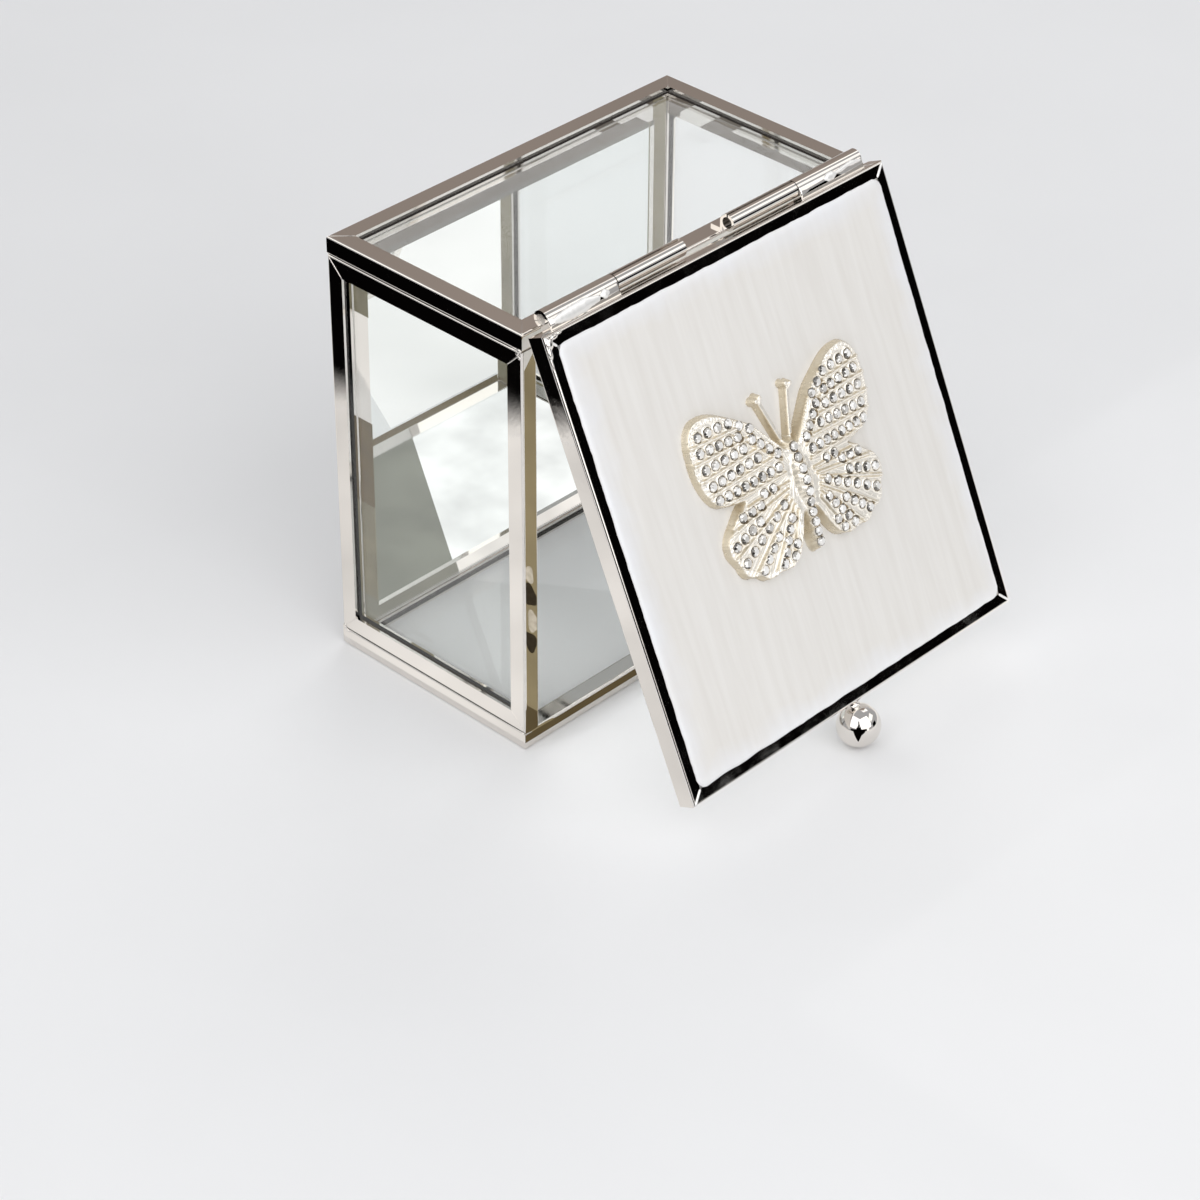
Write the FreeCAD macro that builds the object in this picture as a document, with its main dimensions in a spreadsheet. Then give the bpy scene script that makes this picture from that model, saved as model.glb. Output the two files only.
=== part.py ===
"""Hinged glass trinket box with a mirror floor and a butterfly on its lid.

The box stands on its front wall with the mouth towards -Y and the hinge along
the upper edge. The lid hangs from the hinge and leans on its ball knob.
"""

import FreeCAD, Part
import math
import os

doc = FreeCAD.newDocument("trinket_box")
sheet = doc.addObject("Spreadsheet::Sheet", "Sizes")

SIZES = (
    ("box_width", "85"),
    ("box_height", "85"),
    ("box_depth", "47"),
    ("channel", "3.5"),
    ("sheet_metal", "0.5"),
    ("edge_round", "0.45"),
    ("pane_inset", "0.8"),
    ("lid_thick", "4"),
    ("lid_channel", "2.4"),
    ("lid_gap", "0.2"),
    ("enamel_rise", "0.4"),
    ("enamel_corner", "1.8"),
    ("enamel_bevel", "0.3"),
    ("knob_radius", "4.05"),
    ("knob_reach", "4.85"),
    ("stud_radius", "1.3"),
    ("barrel_radius", "1.6"),
    ("leaf", "0.5"),
    ("leaf_width", "2.6"),
    ("hinge_gap", "0.4"),
    ("hinge_inset", "3.3"),
    ("hinge_inner", "5.9"),
    ("knuckle_gap", "0.2"),
    ("saddle", "2.2"),
    ("roll_seam", "0.3"),
    ("pin_radius", "1"),
    ("pin_play", "0.05"),
    ("pin_recess", "4.8"),
    ("wing_span", "21.9"),
    ("wing_edge", "1.3"),
    ("wing_fall", "1.2"),
    ("rib_width", "0.55"),
    ("rib_rise", "0.4"),
    ("spine_height", "1.5"),
    ("feeler_width", "1.1"),
    ("feeler_tip", "0.75"),
    ("stone_radius", "0.9"),
    ("stone_rise", "0.75"),
    ("stone_seat", "0.3"),
    ("stone_play", "0.06"),
)

for number, (alias, value) in enumerate(SIZES, 1):
    sheet.set(f"A{number}", alias)
    sheet.set(f"B{number}", value)
    sheet.setAlias(f"B{number}", alias)
doc.recompute()

V = FreeCAD.Vector
Turn = FreeCAD.Rotation
Place = FreeCAD.Placement
X_AXIS = V(1, 0, 0)
Y_AXIS = V(0, 1, 0)
Z_AXIS = V(0, 0, 1)
DIAGONAL = V(1, 1, 1)
CLOSE = 1e-6

nodes = []


def size(alias):
    """Read one driving size from the sheet, in millimetres."""
    return float(sheet.get(alias))


def sized(kind, label, **formulas):
    """Add an object whose sizes are bound to the sheet."""
    piece = doc.addObject(kind, label)
    for name, formula in formulas.items():
        piece.setExpression(name, formula)
    return piece


def moved(x=0, y=0, z=0, turn=None):
    """Make a placement from a shift and an optional turn."""
    return Place(V(x, y, z), turn or Turn())


def node(piece, place):
    """Seat a finished sub-part and list it for export."""
    piece.Placement = place
    nodes.append(piece)
    return piece


def shaped(label, shape, place):
    """List a sub-part whose form is worked out point by point."""
    piece = doc.addObject("Part::Feature", label)
    piece.Shape = shape
    return node(piece, place)


def eased(kind, base, label, amount, wanted):
    """Round or bevel the edges of a piece that pass a test."""
    doc.recompute()
    piece = doc.addObject(kind, label)
    piece.Base = base
    picked = [n for n, edge in enumerate(base.Shape.Edges, 1) if wanted(edge)]
    piece.Edges = [(n, amount, amount) for n in picked]
    return piece


def joined(label, pieces):
    """Fuse pieces into one."""
    piece = doc.addObject("Part::MultiFuse", label)
    piece.Shapes = pieces
    return piece


def cut(label, base, tool):
    """Take a tool away from a base."""
    piece = doc.addObject("Part::Cut", label)
    piece.Base = base
    piece.Tool = tool
    return piece


def ring(reach, z, sides):
    """Corners of a regular outline."""
    turns = [math.tau * n / sides for n in range(sides)]
    return [V(reach * math.cos(turn), reach * math.sin(turn), z) for turn in turns]


def facet(corners):
    """Flat face between corners."""
    return Part.Face(Part.makePolygon(corners + corners[:1]))


def turned(rings, sides):
    """Faceted solid of revolution about Z, from heights and radii."""
    loops = [ring(reach, z, sides) for z, reach in rings]
    faces = [facet(loops[0]), facet(loops[-1])]
    for low, high in zip(loops, loops[1:]):
        faces += [facet([low[n - 1], low[n], high[n], high[n - 1]]) for n in range(sides)]
    return Part.Solid(Part.Shell(faces))


# Hinge axis, resting angle of the lid and the shift that centres the footprint.

axis_y = size("leaf") - size("barrel_radius")
axis_z = size("box_height") + size("barrel_radius") + size("hinge_gap")
knob_y = -size("lid_gap") - size("lid_thick") / 2
knob_out = knob_y - axis_y
knob_down = axis_z + size("knob_reach")
knob_swing = math.hypot(knob_out, knob_down)
rest_angle = math.atan2(knob_out, knob_down) + math.acos((axis_z - size("knob_radius")) / knob_swing)
knob_front = axis_y + knob_out * math.cos(rest_angle) - knob_down * math.sin(rest_angle) - size("knob_radius")

box = moved(y=-(size("box_depth") + knob_front) / 2)
lid = box * Place(V(), Turn(X_AXIS, -math.degrees(rest_angle)), V(0, axis_y, axis_z))

# Channel bars and panes.


def mitred_bar(label, length, face, thick):
    """Bend a channel bar: outer edge along X, ends mitred, groove open to +Y."""
    metal = "Sizes.sheet_metal"
    blank = sized(
        "Part::Wedge",
        label + "_blank",
        Xmax=length,
        X2min=face,
        X2max=f"{length} - {face}",
        Ymax=face,
        Zmax=thick,
        Z2max=thick,
    )
    blank.Z2min = 0
    bent = eased(
        "Part::Fillet",
        blank,
        label + "_bend",
        size("edge_round"),
        lambda edge: edge.BoundBox.YMax < CLOSE < edge.BoundBox.XLength,
    )
    groove = sized(
        "Part::Wedge",
        label + "_groove",
        Xmin=metal,
        Xmax=f"{length} - {metal}",
        X2min=face,
        X2max=f"{length} - {face}",
        Ymin=metal,
        Ymax=face,
        Zmin=metal,
        Z2min=metal,
        Zmax=f"{thick} - {metal}",
        Z2max=f"{thick} - {metal}",
    )
    return cut(label, bent, groove), blank


def framed_panel(panel, pane, sides, wide, tall, face, thick, place):
    """Frame one pane with four bars, named from the lower edge anticlockwise."""
    bars = []
    blanks = []
    for side, length in zip(sides, (wide, tall, wide, tall)):
        bar, blank = mitred_bar(f"{panel}_{side}_bar", length, face, thick)
        bars.append(bar)
        blanks.append(blank)
    doc.recompute()
    across = blanks[0].Xmax.Value
    along = blanks[1].Xmax.Value
    corners = ((0, 0), (across, 0), (across, along), (0, along))
    for quarter, (bar, corner) in enumerate(zip(bars, corners)):
        node(bar, place * moved(*corner, turn=Turn(Z_AXIS, quarter * 90)))
    plate = sized(
        "Part::Box",
        f"{panel}_{pane}",
        Length=f"{wide} - 2 * Sizes.pane_inset",
        Width=f"{tall} - 2 * Sizes.pane_inset",
        Height=f"{thick} - 2 * Sizes.sheet_metal",
    )
    node(plate, place * moved(size("pane_inset"), size("pane_inset"), size("sheet_metal")))


half_width = size("box_width") / 2
channel = size("channel")
wide = "Sizes.box_width"
tall = "Sizes.box_height"
deep = "Sizes.box_depth"
face = "Sizes.channel"
side_tall = "(Sizes.box_height - 2 * Sizes.channel)"
base_wide = "(Sizes.box_width - 2 * Sizes.channel)"

long_wall_sides = ("rim", "right", "floor", "left")
for wall, level in (("front_wall", 0), ("back_wall", size("box_height") - channel)):
    framed_panel(wall, "glass", long_wall_sides, wide, deep, face, face, box * moved(-half_width, 0, level))

end_wall_sides = ("front", "floor", "back", "rim")
for wall, start in (("left_wall", -half_width), ("right_wall", half_width - channel)):
    upright = box * moved(start, 0, channel, Turn(DIAGONAL, 120))
    framed_panel(wall, "glass", end_wall_sides, deep, side_tall, face, face, upright)

base_sides = ("left", "back", "right", "front")
base_place = box * moved(channel - half_width, size("box_depth") - channel, channel, Turn(DIAGONAL, 240))
framed_panel("base", "mirror", base_sides, side_tall, base_wide, face, face, base_place)

lid_sides = ("front", "right", "back", "left")
lid_place = lid * moved(-half_width, -size("lid_gap"), 0, Turn(X_AXIS, 90))
lid_face = "Sizes.lid_channel"
framed_panel("lid", "board", lid_sides, wide, tall, lid_face, "Sizes.lid_thick", lid_place)

# Enamel filling the lid's frame, rounded at its corners and eased along its upper edge.

slab = sized(
    "Part::Box",
    "enamel_slab",
    Length="Sizes.box_width - 2 * Sizes.lid_channel",
    Width="Sizes.box_height - 2 * Sizes.lid_channel",
    Height="Sizes.sheet_metal + Sizes.enamel_rise",
)
corner = size("enamel_corner")
softened = eased("Part::Fillet", slab, "enamel_corners", corner, lambda edge: edge.BoundBox.ZLength > CLOSE)
bevel = size("enamel_bevel")
enamel = eased("Part::Chamfer", softened, "lid_enamel", bevel, lambda edge: edge.BoundBox.ZMin > CLOSE)
inset = size("lid_channel")
node(enamel, lid_place * moved(inset, inset, size("lid_thick") - size("sheet_metal")))

# Ball knob with a flat on top, soldered to a stud under the lid's free edge.

knob_place = lid * moved(0, knob_y, -size("knob_reach"))
ball_sides = 32
ball_steps = 14
ball_radius = size("knob_radius")
flat_turn = math.acos(size("stud_radius") / ball_radius)
ball_step = (math.pi / 2 + flat_turn) / (ball_steps + 1 / 2)
ball_turns = [flat_turn - ball_step * n for n in reversed(range(ball_steps + 1))]
ball_rings = [(ball_radius * math.sin(turn), ball_radius * math.cos(turn)) for turn in ball_turns]
shaped("knob_ball", turned(ball_rings, ball_sides), knob_place)
stud = sized(
    "Part::Cylinder",
    "knob_stud",
    Radius="Sizes.stud_radius",
    Height="Sizes.knob_reach - sqrt(Sizes.knob_radius ^ 2 - Sizes.stud_radius ^ 2)",
)
node(stud, knob_place * moved(z=ball_rings[-1][0]))

# Two hinges: a rolled knuckle on the box, a soldered knuckle on the lid and a pin.

ALONG = Turn(Y_AXIS, 90)
knuckle = "((Sizes.box_width / 2 - Sizes.hinge_inset - Sizes.hinge_inner - Sizes.knuckle_gap) / 2)"
radius = size("barrel_radius")
sink = radius + size("hinge_gap")


def rod(label, reach, length):
    """Add a round along X."""
    piece = sized("Part::Cylinder", label, Radius=reach, Height=length)
    piece.Placement = moved(turn=ALONG)
    return piece


def block(label, length, width, height, y, z):
    """Add a block along X."""
    piece = sized("Part::Box", label, Length=length, Width=width, Height=height)
    piece.Placement = moved(0, y, z)
    return piece


def box_knuckle(label, place):
    """Roll a leaf round the pin; its foot lies on the back wall's rim bar."""
    foot_y = radius - size("leaf")
    roll = rod(label + "_roll", "Sizes.barrel_radius", knuckle)
    height = "Sizes.barrel_radius + Sizes.hinge_gap"
    web = block(label + "_web", knuckle, "Sizes.leaf", height, foot_y, -sink)
    foot = block(label + "_foot", knuckle, "Sizes.leaf_width", "Sizes.leaf", foot_y, -sink)
    bore = rod(label + "_bore", "Sizes.pin_radius + Sizes.pin_play", knuckle)
    seam_y = -size("roll_seam") / 2
    seam = block(label + "_seam", knuckle, "Sizes.roll_seam", "Sizes.barrel_radius", seam_y, 0)
    body = joined(label + "_body", [roll, web, foot])
    hollow = joined(label + "_hollow", [bore, seam])
    node(cut(label, body, hollow), place)


def lid_knuckle(label, place):
    """Solder a tube along the lid's back edge."""
    tube = rod(label + "_tube", "Sizes.barrel_radius", knuckle)
    height = "Sizes.barrel_radius + Sizes.hinge_gap"
    saddle = block(label + "_saddle", knuckle, "Sizes.saddle", height, -radius, -sink)
    bore = rod(label + "_bore", "Sizes.pin_radius", knuckle)
    body = joined(label + "_body", [tube, saddle])
    node(cut(label, body, bore), place)


hinge_end = half_width - size("hinge_inset")
hinge_inner = size("hinge_inner")
lid_start = (hinge_end + hinge_inner + size("knuckle_gap")) / 2
box_end = lid_start - size("knuckle_gap")
pin_start = hinge_inner + size("pin_recess")
pin_length = f"2 * {knuckle} + Sizes.knuckle_gap - Sizes.pin_recess"
for hand, lid_x, box_x, pin_x in (
    ("left", -hinge_end, -box_end, -hinge_end),
    ("right", lid_start, hinge_inner, pin_start),
):
    box_knuckle(f"box_knuckle_{hand}", box * moved(box_x, axis_y, axis_z))
    lid_knuckle(f"lid_knuckle_{hand}", lid * moved(lid_x, axis_y, axis_z))
    pin = rod(f"hinge_pin_{hand}", "Sizes.pin_radius", pin_length)
    node(pin, lid * moved(pin_x, axis_y, axis_z, ALONG))

# Butterfly casting, drawn in shares of the wing span from the lid's centre.

span = size("wing_span")
wing_edge = size("wing_edge")
tilt = math.atan2(size("wing_fall"), span)
enamel_top = size("lid_gap") + size("lid_thick") + size("enamel_rise")
butterfly_place = lid * moved(0, -enamel_top, size("box_height") / 2, Turn(X_AXIS, 90))

upper_wing_shares = (
    (0.02, 0.22), (0.15, 0.37), (0.25, 0.49), (0.37, 0.62), (0.51, 0.71), (0.65, 0.79), (0.78, 0.82),
    (0.88, 0.81), (0.95, 0.75), (0.99, 0.65), (1.0, 0.53), (1.0, 0.41), (0.98, 0.3), (0.94, 0.2),
    (0.88, 0.12), (0.78, 0.08), (0.66, 0.055), (0.41, 0.04), (0.2, 0.02), (0.02, 0.0),
)
lower_wing_shares = (
    (0.02, 0.07), (0.27, 0.075), (0.48, 0.065), (0.63, 0.04), (0.72, -0.02), (0.8, -0.09), (0.88, -0.17),
    (0.905, -0.255), (0.885, -0.335), (0.84, -0.415), (0.82, -0.485), (0.76, -0.535), (0.68, -0.555),
    (0.625, -0.605), (0.55, -0.625), (0.475, -0.61), (0.405, -0.625), (0.325, -0.615), (0.25, -0.585),
    (0.19, -0.515), (0.14, -0.425), (0.08, -0.3), (0.02, -0.18),
)
upper_rib_shares = (
    ((0.14, 0.21), (0.43, 0.49)), ((0.43, 0.49), (0.59, 0.63)), ((0.46, 0.61), (1.0, 0.64)),
    ((0.41, 0.5), (1.02, 0.5)), ((0.32, 0.385), (1.02, 0.355)), ((0.22, 0.26), (0.98, 0.22)),
    ((0.14, 0.1), (0.82, 0.1)),
)
lower_rib_shares = (
    ((0.14, 0.02), (0.7, 0.0)), ((0.16, -0.03), (0.87, -0.14)), ((0.18, -0.07), (0.89, -0.35)),
    ((0.16, -0.12), (0.74, -0.54)), ((0.15, -0.16), (0.54, -0.61)), ((0.13, -0.21), (0.35, -0.62)),
)
upper_row_shares = (
    ((0.875, 0.695), (0.66, 0.69), 3), ((0.55, 0.68), (0.365, 0.565), 3), ((0.375, 0.475), (0.17, 0.275), 4),
    ((0.895, 0.57), (0.5, 0.545), 5), ((0.89, 0.428), (0.48, 0.438), 5), ((0.87, 0.285), (0.37, 0.318), 6),
    ((0.845, 0.16), (0.2, 0.165), 8),
)
lower_row_shares = (
    ((0.415, 0.035), (0.315, 0.035), 2), ((0.68, -0.055), (0.48, -0.035), 3),
    ((0.82, -0.245), (0.53, -0.15), 4), ((0.77, -0.4), (0.26, -0.125), 6), ((0.63, -0.52), (0.4, -0.335), 4),
    ((0.42, -0.555), (0.22, -0.255), 5), ((0.295, -0.545), (0.245, -0.46), 2),
)
body_shares = (
    (0.33, 0.02), (0.315, 0.045), (0.275, 0.07), (0.225, 0.058), (0.14, 0.087), (0.02, 0.1), (-0.115, 0.095),
    (-0.22, 0.066), (-0.32, 0.06), (-0.46, 0.057), (-0.57, 0.045), (-0.615, 0.02),
)
spine_shares = (0.26, 0.17, 0.075, -0.02, -0.115, -0.205, -0.29, -0.375, -0.46, -0.545)
feeler_root_share = (0.035, 0.28)
feeler_end_share = (0.175, 0.725)
table_share = 0.6
bead_shares = ((-0.9, 0.44), (-0.4, 0.92), (0.4, 0.92), (0.9, 0.44))
stone_sides = 8
body_sides = 16
outline_steps = 56


def at(share, side=1, z=0):
    """Point on the enamel, from shares of the wing span."""
    return V(side * share[0] * span, share[1] * span, z)


def strip(start, end, width, height):
    """Upright wall from one point to another."""
    run = end - start
    across = V(-run.y, run.x, 0).normalize() * (width / 2)
    return facet([start + across, start - across, end - across, end + across]).extrude(V(0, 0, height))


def wing_top(x):
    """Height of a wing above the enamel; wings fall towards their edges."""
    return wing_edge + (span - abs(x)) * math.tan(tilt)


def wedge(side, rise):
    """Block under the sloping top of one pair of wings."""
    reach = side * span * 2
    low = wing_top(reach) + rise
    high = wing_top(0) + rise
    profile = [V(0, -span, -span), V(reach, -span, -span), V(reach, -span, low), V(0, -span, high)]
    return facet(profile).extrude(V(0, span * 2, 0))


def stone_places(rows, side):
    """Places of the stones in rows between the ribs, square to the sloping top."""
    places = []
    for start, end, count in rows:
        for n in range(count):
            spot = at(start, side) + (at(end, side) - at(start, side)) * (n / (count - 1))
            spot.z = wing_top(spot.x)
            places.append(Place(spot, Turn(Y_AXIS, side * math.degrees(tilt))))
    return places


def stone(place):
    """Cut a faceted stone with a flat table."""
    reach = size("stone_radius")
    gem = turned(((0, reach), (size("stone_rise"), reach * table_share)), stone_sides)
    gem.Placement = place
    return gem


def seat(place):
    """Hollow that clears one stone."""
    hollow = facet(ring(size("stone_radius") + size("stone_play"), 0, stone_sides)).extrude(V(0, 0, span))
    hollow.Placement = place
    return hollow


def wing(outline, ribs, places, side):
    """Cast one wing: a sloping plate and the ribs that stand on it between the stones."""
    curve = Part.BSplineCurve()
    curve.interpolate([at(share, side) for share in outline], PeriodicFlag=True)
    blank = facet(curve.toShape().discretize(outline_steps)[:-1]).extrude(V(0, 0, span))
    walls = [strip(at(start, side), at(end, side), size("rib_width"), span) for start, end in ribs]
    grown = walls[0].multiFuse(walls[1:]).common(blank).common(wedge(side, size("rib_rise")))
    return [blank.common(wedge(side, 0)), grown.cut(Part.makeCompound([seat(place) for place in places]))]


def body_top(share):
    """Height of the body's spine at a share along it."""
    for (far, far_reach), (near, near_reach) in zip(body_shares, body_shares[1:]):
        if near <= share <= far:
            blend = (share - near) / (far - near)
            return size("spine_height") + span * (near_reach + (far_reach - near_reach) * blend)


above_enamel = Part.makeBox(span * 2, span * 2, span, V(-span, -span, 0))
trunk = turned([(along * span, reach * span) for along, reach in reversed(body_shares)], body_sides)
trunk.Placement = moved(z=size("spine_height"), turn=Turn(X_AXIS, -90))
spine = [Place(V(0, share * span, body_top(share) - size("stone_seat")), Turn()) for share in spine_shares]

tip_reach = size("feeler_tip")
castings = [trunk.common(above_enamel)]
settings = {"stones_spine": spine}
for hand, side in (("left", -1), ("right", 1)):
    for level, outline, ribs, rows in (
        ("upper", upper_wing_shares, upper_rib_shares, upper_row_shares),
        ("lower", lower_wing_shares, lower_rib_shares, lower_row_shares),
    ):
        places = stone_places(rows, side)
        settings[f"stones_{hand}_{level}"] = places
        castings += wing(outline, ribs, places, side)
    root = at(feeler_root_share, side)
    end = at(feeler_end_share, side)
    castings.append(strip(root, end, size("feeler_width"), size("spine_height")))
    aside = V(end.y - root.y, root.x - end.x, 0).normalize() * (size("feeler_width") / 2)
    for tip in (end - aside, end + aside):
        bead = turned([(z * tip_reach, reach * tip_reach) for z, reach in bead_shares], stone_sides)
        bead.translate(tip + V(0, 0, size("spine_height") - tip_reach / 2))
        castings.append(bead)
casting = castings[0].multiFuse(castings[1:]).removeSplitter()
casting = casting.cut(Part.makeCompound([seat(place) for place in spine]))
shaped("butterfly_casting", casting.Solids[0], butterfly_place)
for label, places in settings.items():
    shaped(label, Part.makeCompound([stone(place) for place in places]), butterfly_place)

doc.recompute()
for piece in doc.Objects:
    if "Invalid" in piece.State or "Error" in piece.State:
        raise RuntimeError(piece.Label + " did not build")

os.makedirs("parts", exist_ok=True)
for piece in nodes:
    if piece.Shape.isNull() or not piece.Shape.isValid():
        raise RuntimeError(piece.Label + " is not a sound shape")
    piece.Shape.exportStep(f"parts/{piece.Label}.step")
    print(piece.Label, len(piece.Shape.Solids), round(piece.Shape.Volume, 2))
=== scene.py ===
# %% [markdown]
# # Glass trinket box with a jewelled butterfly
# A square keepsake box of glass panes in nickel-plated channel, with a mirror floor and a hinged
# lid of pearl enamel. It stands on its front wall with the lid leaning out on a ball knob.
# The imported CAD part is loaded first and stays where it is: every finish and every finer piece
# is then fitted to it, in metres and in the same frame.

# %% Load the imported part
import math
import random

import bmesh
import bpy
import numpy as np
from mathutils import Matrix, Quaternion, Vector, noise
from mathutils.bvhtree import BVHTree


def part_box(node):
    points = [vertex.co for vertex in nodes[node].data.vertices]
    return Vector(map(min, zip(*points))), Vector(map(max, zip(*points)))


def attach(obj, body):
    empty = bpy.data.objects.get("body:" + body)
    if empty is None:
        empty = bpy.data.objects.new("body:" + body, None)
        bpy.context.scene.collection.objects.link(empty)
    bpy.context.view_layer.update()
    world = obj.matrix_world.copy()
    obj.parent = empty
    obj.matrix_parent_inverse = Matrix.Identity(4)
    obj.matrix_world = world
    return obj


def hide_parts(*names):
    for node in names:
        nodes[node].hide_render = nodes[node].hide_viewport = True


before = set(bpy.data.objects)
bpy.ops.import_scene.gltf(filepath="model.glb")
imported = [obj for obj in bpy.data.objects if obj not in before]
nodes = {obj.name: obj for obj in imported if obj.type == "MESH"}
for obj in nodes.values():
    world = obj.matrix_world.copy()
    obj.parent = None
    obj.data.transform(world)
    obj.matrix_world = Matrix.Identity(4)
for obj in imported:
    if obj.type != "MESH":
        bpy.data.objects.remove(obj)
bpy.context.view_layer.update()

MM = 0.001

# %% [markdown]
# ## Camera
# The picture was taken from the left, above the mouth of the box, with a long lens. The place,
# the tilt and the angle of view come from fitting the corners of the box, so the camera is set
# by numbers and not aimed by eye.

# %% Camera
EYE = Vector((-0.3972, -0.3580, 0.3850))
LOOK_BACK = Vector((-0.59213, -0.56565, 0.57400))
ROLL = math.radians(0.346)
VIEW_ANGLE = math.radians(18.98)
SENSOR_WIDTH = 36
scene = bpy.context.scene


def add_object(name, data):
    """Put data into the scene as an object."""
    item = bpy.data.objects.new(name, data)
    scene.collection.objects.link(item)
    return item


camera_data = bpy.data.cameras.new("studio_camera")
camera_data.sensor_width = SENSOR_WIDTH
camera_data.lens = SENSOR_WIDTH / 2 / math.tan(VIEW_ANGLE / 2)
camera = add_object("studio_camera", camera_data)
camera.location = EYE
camera.rotation_mode = "QUATERNION"
camera.rotation_quaternion = (-LOOK_BACK).to_track_quat("-Z", "Y") @ Quaternion((0, 0, 1), ROLL)
scene.camera = camera
scene.view_settings.view_transform = "Standard"
print("lens", round(camera_data.lens, 1), "mm")

# %% [markdown]
# ## The lid's own axes
# The lid leans, so its pieces are easier to draw flat: across, up towards the hinge, and out from
# the enamel. The broad face of the enamel gives those axes, and one matrix then carries anything
# drawn on the flat lid to its leaning place.

# %% The lid's own axes
enamel_mesh = nodes["lid_enamel"].data
lid_out = max(enamel_mesh.polygons, key=lambda face: face.area).normal.copy()
if lid_out.y > 0:
    lid_out.negate()
lid_right = Vector((1, 0, 0))
lid_up = lid_out.cross(lid_right)
lid_axes = Matrix((lid_right, lid_up, lid_out))
on_axes = np.array([lid_axes @ vertex.co for vertex in enamel_mesh.vertices])
enamel_low, enamel_high = on_axes.min(0), on_axes.max(0)
enamel_centre = (enamel_low + enamel_high) / 2
enamel_centre[2] = enamel_high[2]
lid_place = lid_axes.transposed().to_4x4()
lid_place.translation = lid_axes.transposed() @ Vector(enamel_centre)
off_lid = lid_place.inverted()


def lid_span(node):
    """Lowest and highest corner of a node along the lid's axes, in millimetres."""
    spots = np.array([off_lid @ vertex.co for vertex in nodes[node].data.vertices]) / MM
    return spots.min(0), spots.max(0)


print("lid leans", round(math.degrees(math.asin(lid_out.z)), 2), "degrees")

# %% [markdown]
# ## Helpers for finishes
# Each finish is one shader with its plain numbers set on its sockets. Noise from the object's own
# coordinates then varies what a real surface varies: gloss, tone and small unevenness.

# %% Helpers for finishes
def new_finish(name, sockets):
    """Start a finish from the values of its shader."""
    finish = bpy.data.materials.new(name)
    finish.use_nodes = True
    shader = finish.node_tree.nodes["Principled BSDF"]
    for socket, value in sockets.items():
        shader.inputs[socket].default_value = value
    return finish


def add_node(finish, kind, sockets=(), **settings):
    """Add one node, set it, and wire or set its sockets."""
    node = finish.node_tree.nodes.new(kind)
    for name, value in settings.items():
        setattr(node, name, value)
    for name, value in dict(sockets).items():
        if isinstance(value, bpy.types.NodeSocket):
            finish.node_tree.links.new(value, node.inputs[name])
        else:
            node.inputs[name].default_value = value
    return node


def feed(finish, output, socket):
    """Wire an output to a socket of the finish's shader."""
    shader = finish.node_tree.nodes["Principled BSDF"]
    finish.node_tree.links.new(output, shader.inputs[socket])


def calculate(finish, operation, *values):
    """Result of one sum over fields and numbers."""
    return add_node(finish, "ShaderNodeMath", enumerate(values), operation=operation).outputs[0]


def mottle(finish, scale, detail=3.0, stretch=(1, 1, 1), spin=(0, 0, 0)):
    """Soft noise over the object, with spots of about one over scale metres."""
    spots = add_node(finish, "ShaderNodeTexCoord").outputs["Object"]
    laid = add_node(finish, "ShaderNodeMapping", {"Vector": spots, "Scale": stretch, "Rotation": spin})
    field = add_node(finish, "ShaderNodeTexNoise",
                     {"Vector": laid.outputs["Vector"], "Scale": scale, "Detail": detail})
    return field.outputs["Fac"]


def vary(finish, field, socket, low, high, start=0.35, end=0.65):
    """Let a field swing one shader value between two."""
    swing = add_node(finish, "ShaderNodeMapRange", {"Value": field, "From Min": start, "From Max": end,
                                                    "To Min": low, "To Max": high})
    feed(finish, swing.outputs["Result"], socket)


def tint(finish, field, dark, light, start=0.35, end=0.65):
    """Let a field blend the colour between two tones."""
    ramp = add_node(finish, "ShaderNodeValToRGB", {"Fac": field})
    ramp.color_ramp.elements[0].position = start
    ramp.color_ramp.elements[1].position = end
    ramp.color_ramp.elements[0].color = (*dark, 1)
    ramp.color_ramp.elements[1].color = (*light, 1)
    feed(finish, ramp.outputs["Color"], "Base Color")
    return ramp


def roughen(finish, field, strength, depth):
    """Let a field lift the surface a little."""
    bump = add_node(finish, "ShaderNodeBump", {"Height": field, "Strength": strength, "Distance": depth})
    feed(finish, bump.outputs["Normal"], "Normal")


print("finish helpers ready")

# %% [markdown]
# ## Metal finishes
# The frames are bent brass channel plated with bright nickel: slightly warm, very smooth, with the
# faint waviness of rolled sheet, stronger on the thin bars of the lid. Solder is the same plate over
# lumpy metal, so it is whiter and softer. A dark line of painted shade marks each joint's groove.

# %% Metal finishes
def nickel_plate(name, waves, wave_strength):
    """Bright nickel with the waviness of rolled sheet."""
    finish = new_finish(name, {"Base Color": (0.80, 0.765, 0.725, 1), "Metallic": 1})
    vary(finish, mottle(finish, 260), "Roughness", 0.015, 0.06)
    roughen(finish, mottle(finish, waves, 2.0), wave_strength, 0.0004)
    return finish


nickel = nickel_plate("nickel_plate", waves=130, wave_strength=0.03)
lid_nickel = nickel_plate("wavy_nickel_plate", waves=240, wave_strength=0.05)

solder = new_finish("plated_solder", {"Base Color": (0.93, 0.92, 0.90, 1), "Metallic": 0.35})
vary(solder, mottle(solder, 300), "Roughness", 0.14, 0.28)
roughen(solder, mottle(solder, 500), 0.05, 0.0002)

# Painted shade: a near-black finish for the shade in the grooves between frames.
groove_shade = new_finish("painted_groove_shade", {"Base Color": (0.05, 0.045, 0.04, 1), "Metallic": 0.5})
vary(groove_shade, mottle(groove_shade, 400), "Roughness", 0.4, 0.6)

ALONG_WIRE = (0.05, 1, 1)
drawn_wire = new_finish("drawn_wire", {"Base Color": (0.62, 0.60, 0.58, 1), "Metallic": 1})
vary(drawn_wire, mottle(drawn_wire, 900, 3.0, ALONG_WIRE), "Roughness", 0.18, 0.34)
print("metals:", nickel.name, lid_nickel.name, solder.name, groove_shade.name, drawn_wire.name)
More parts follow.
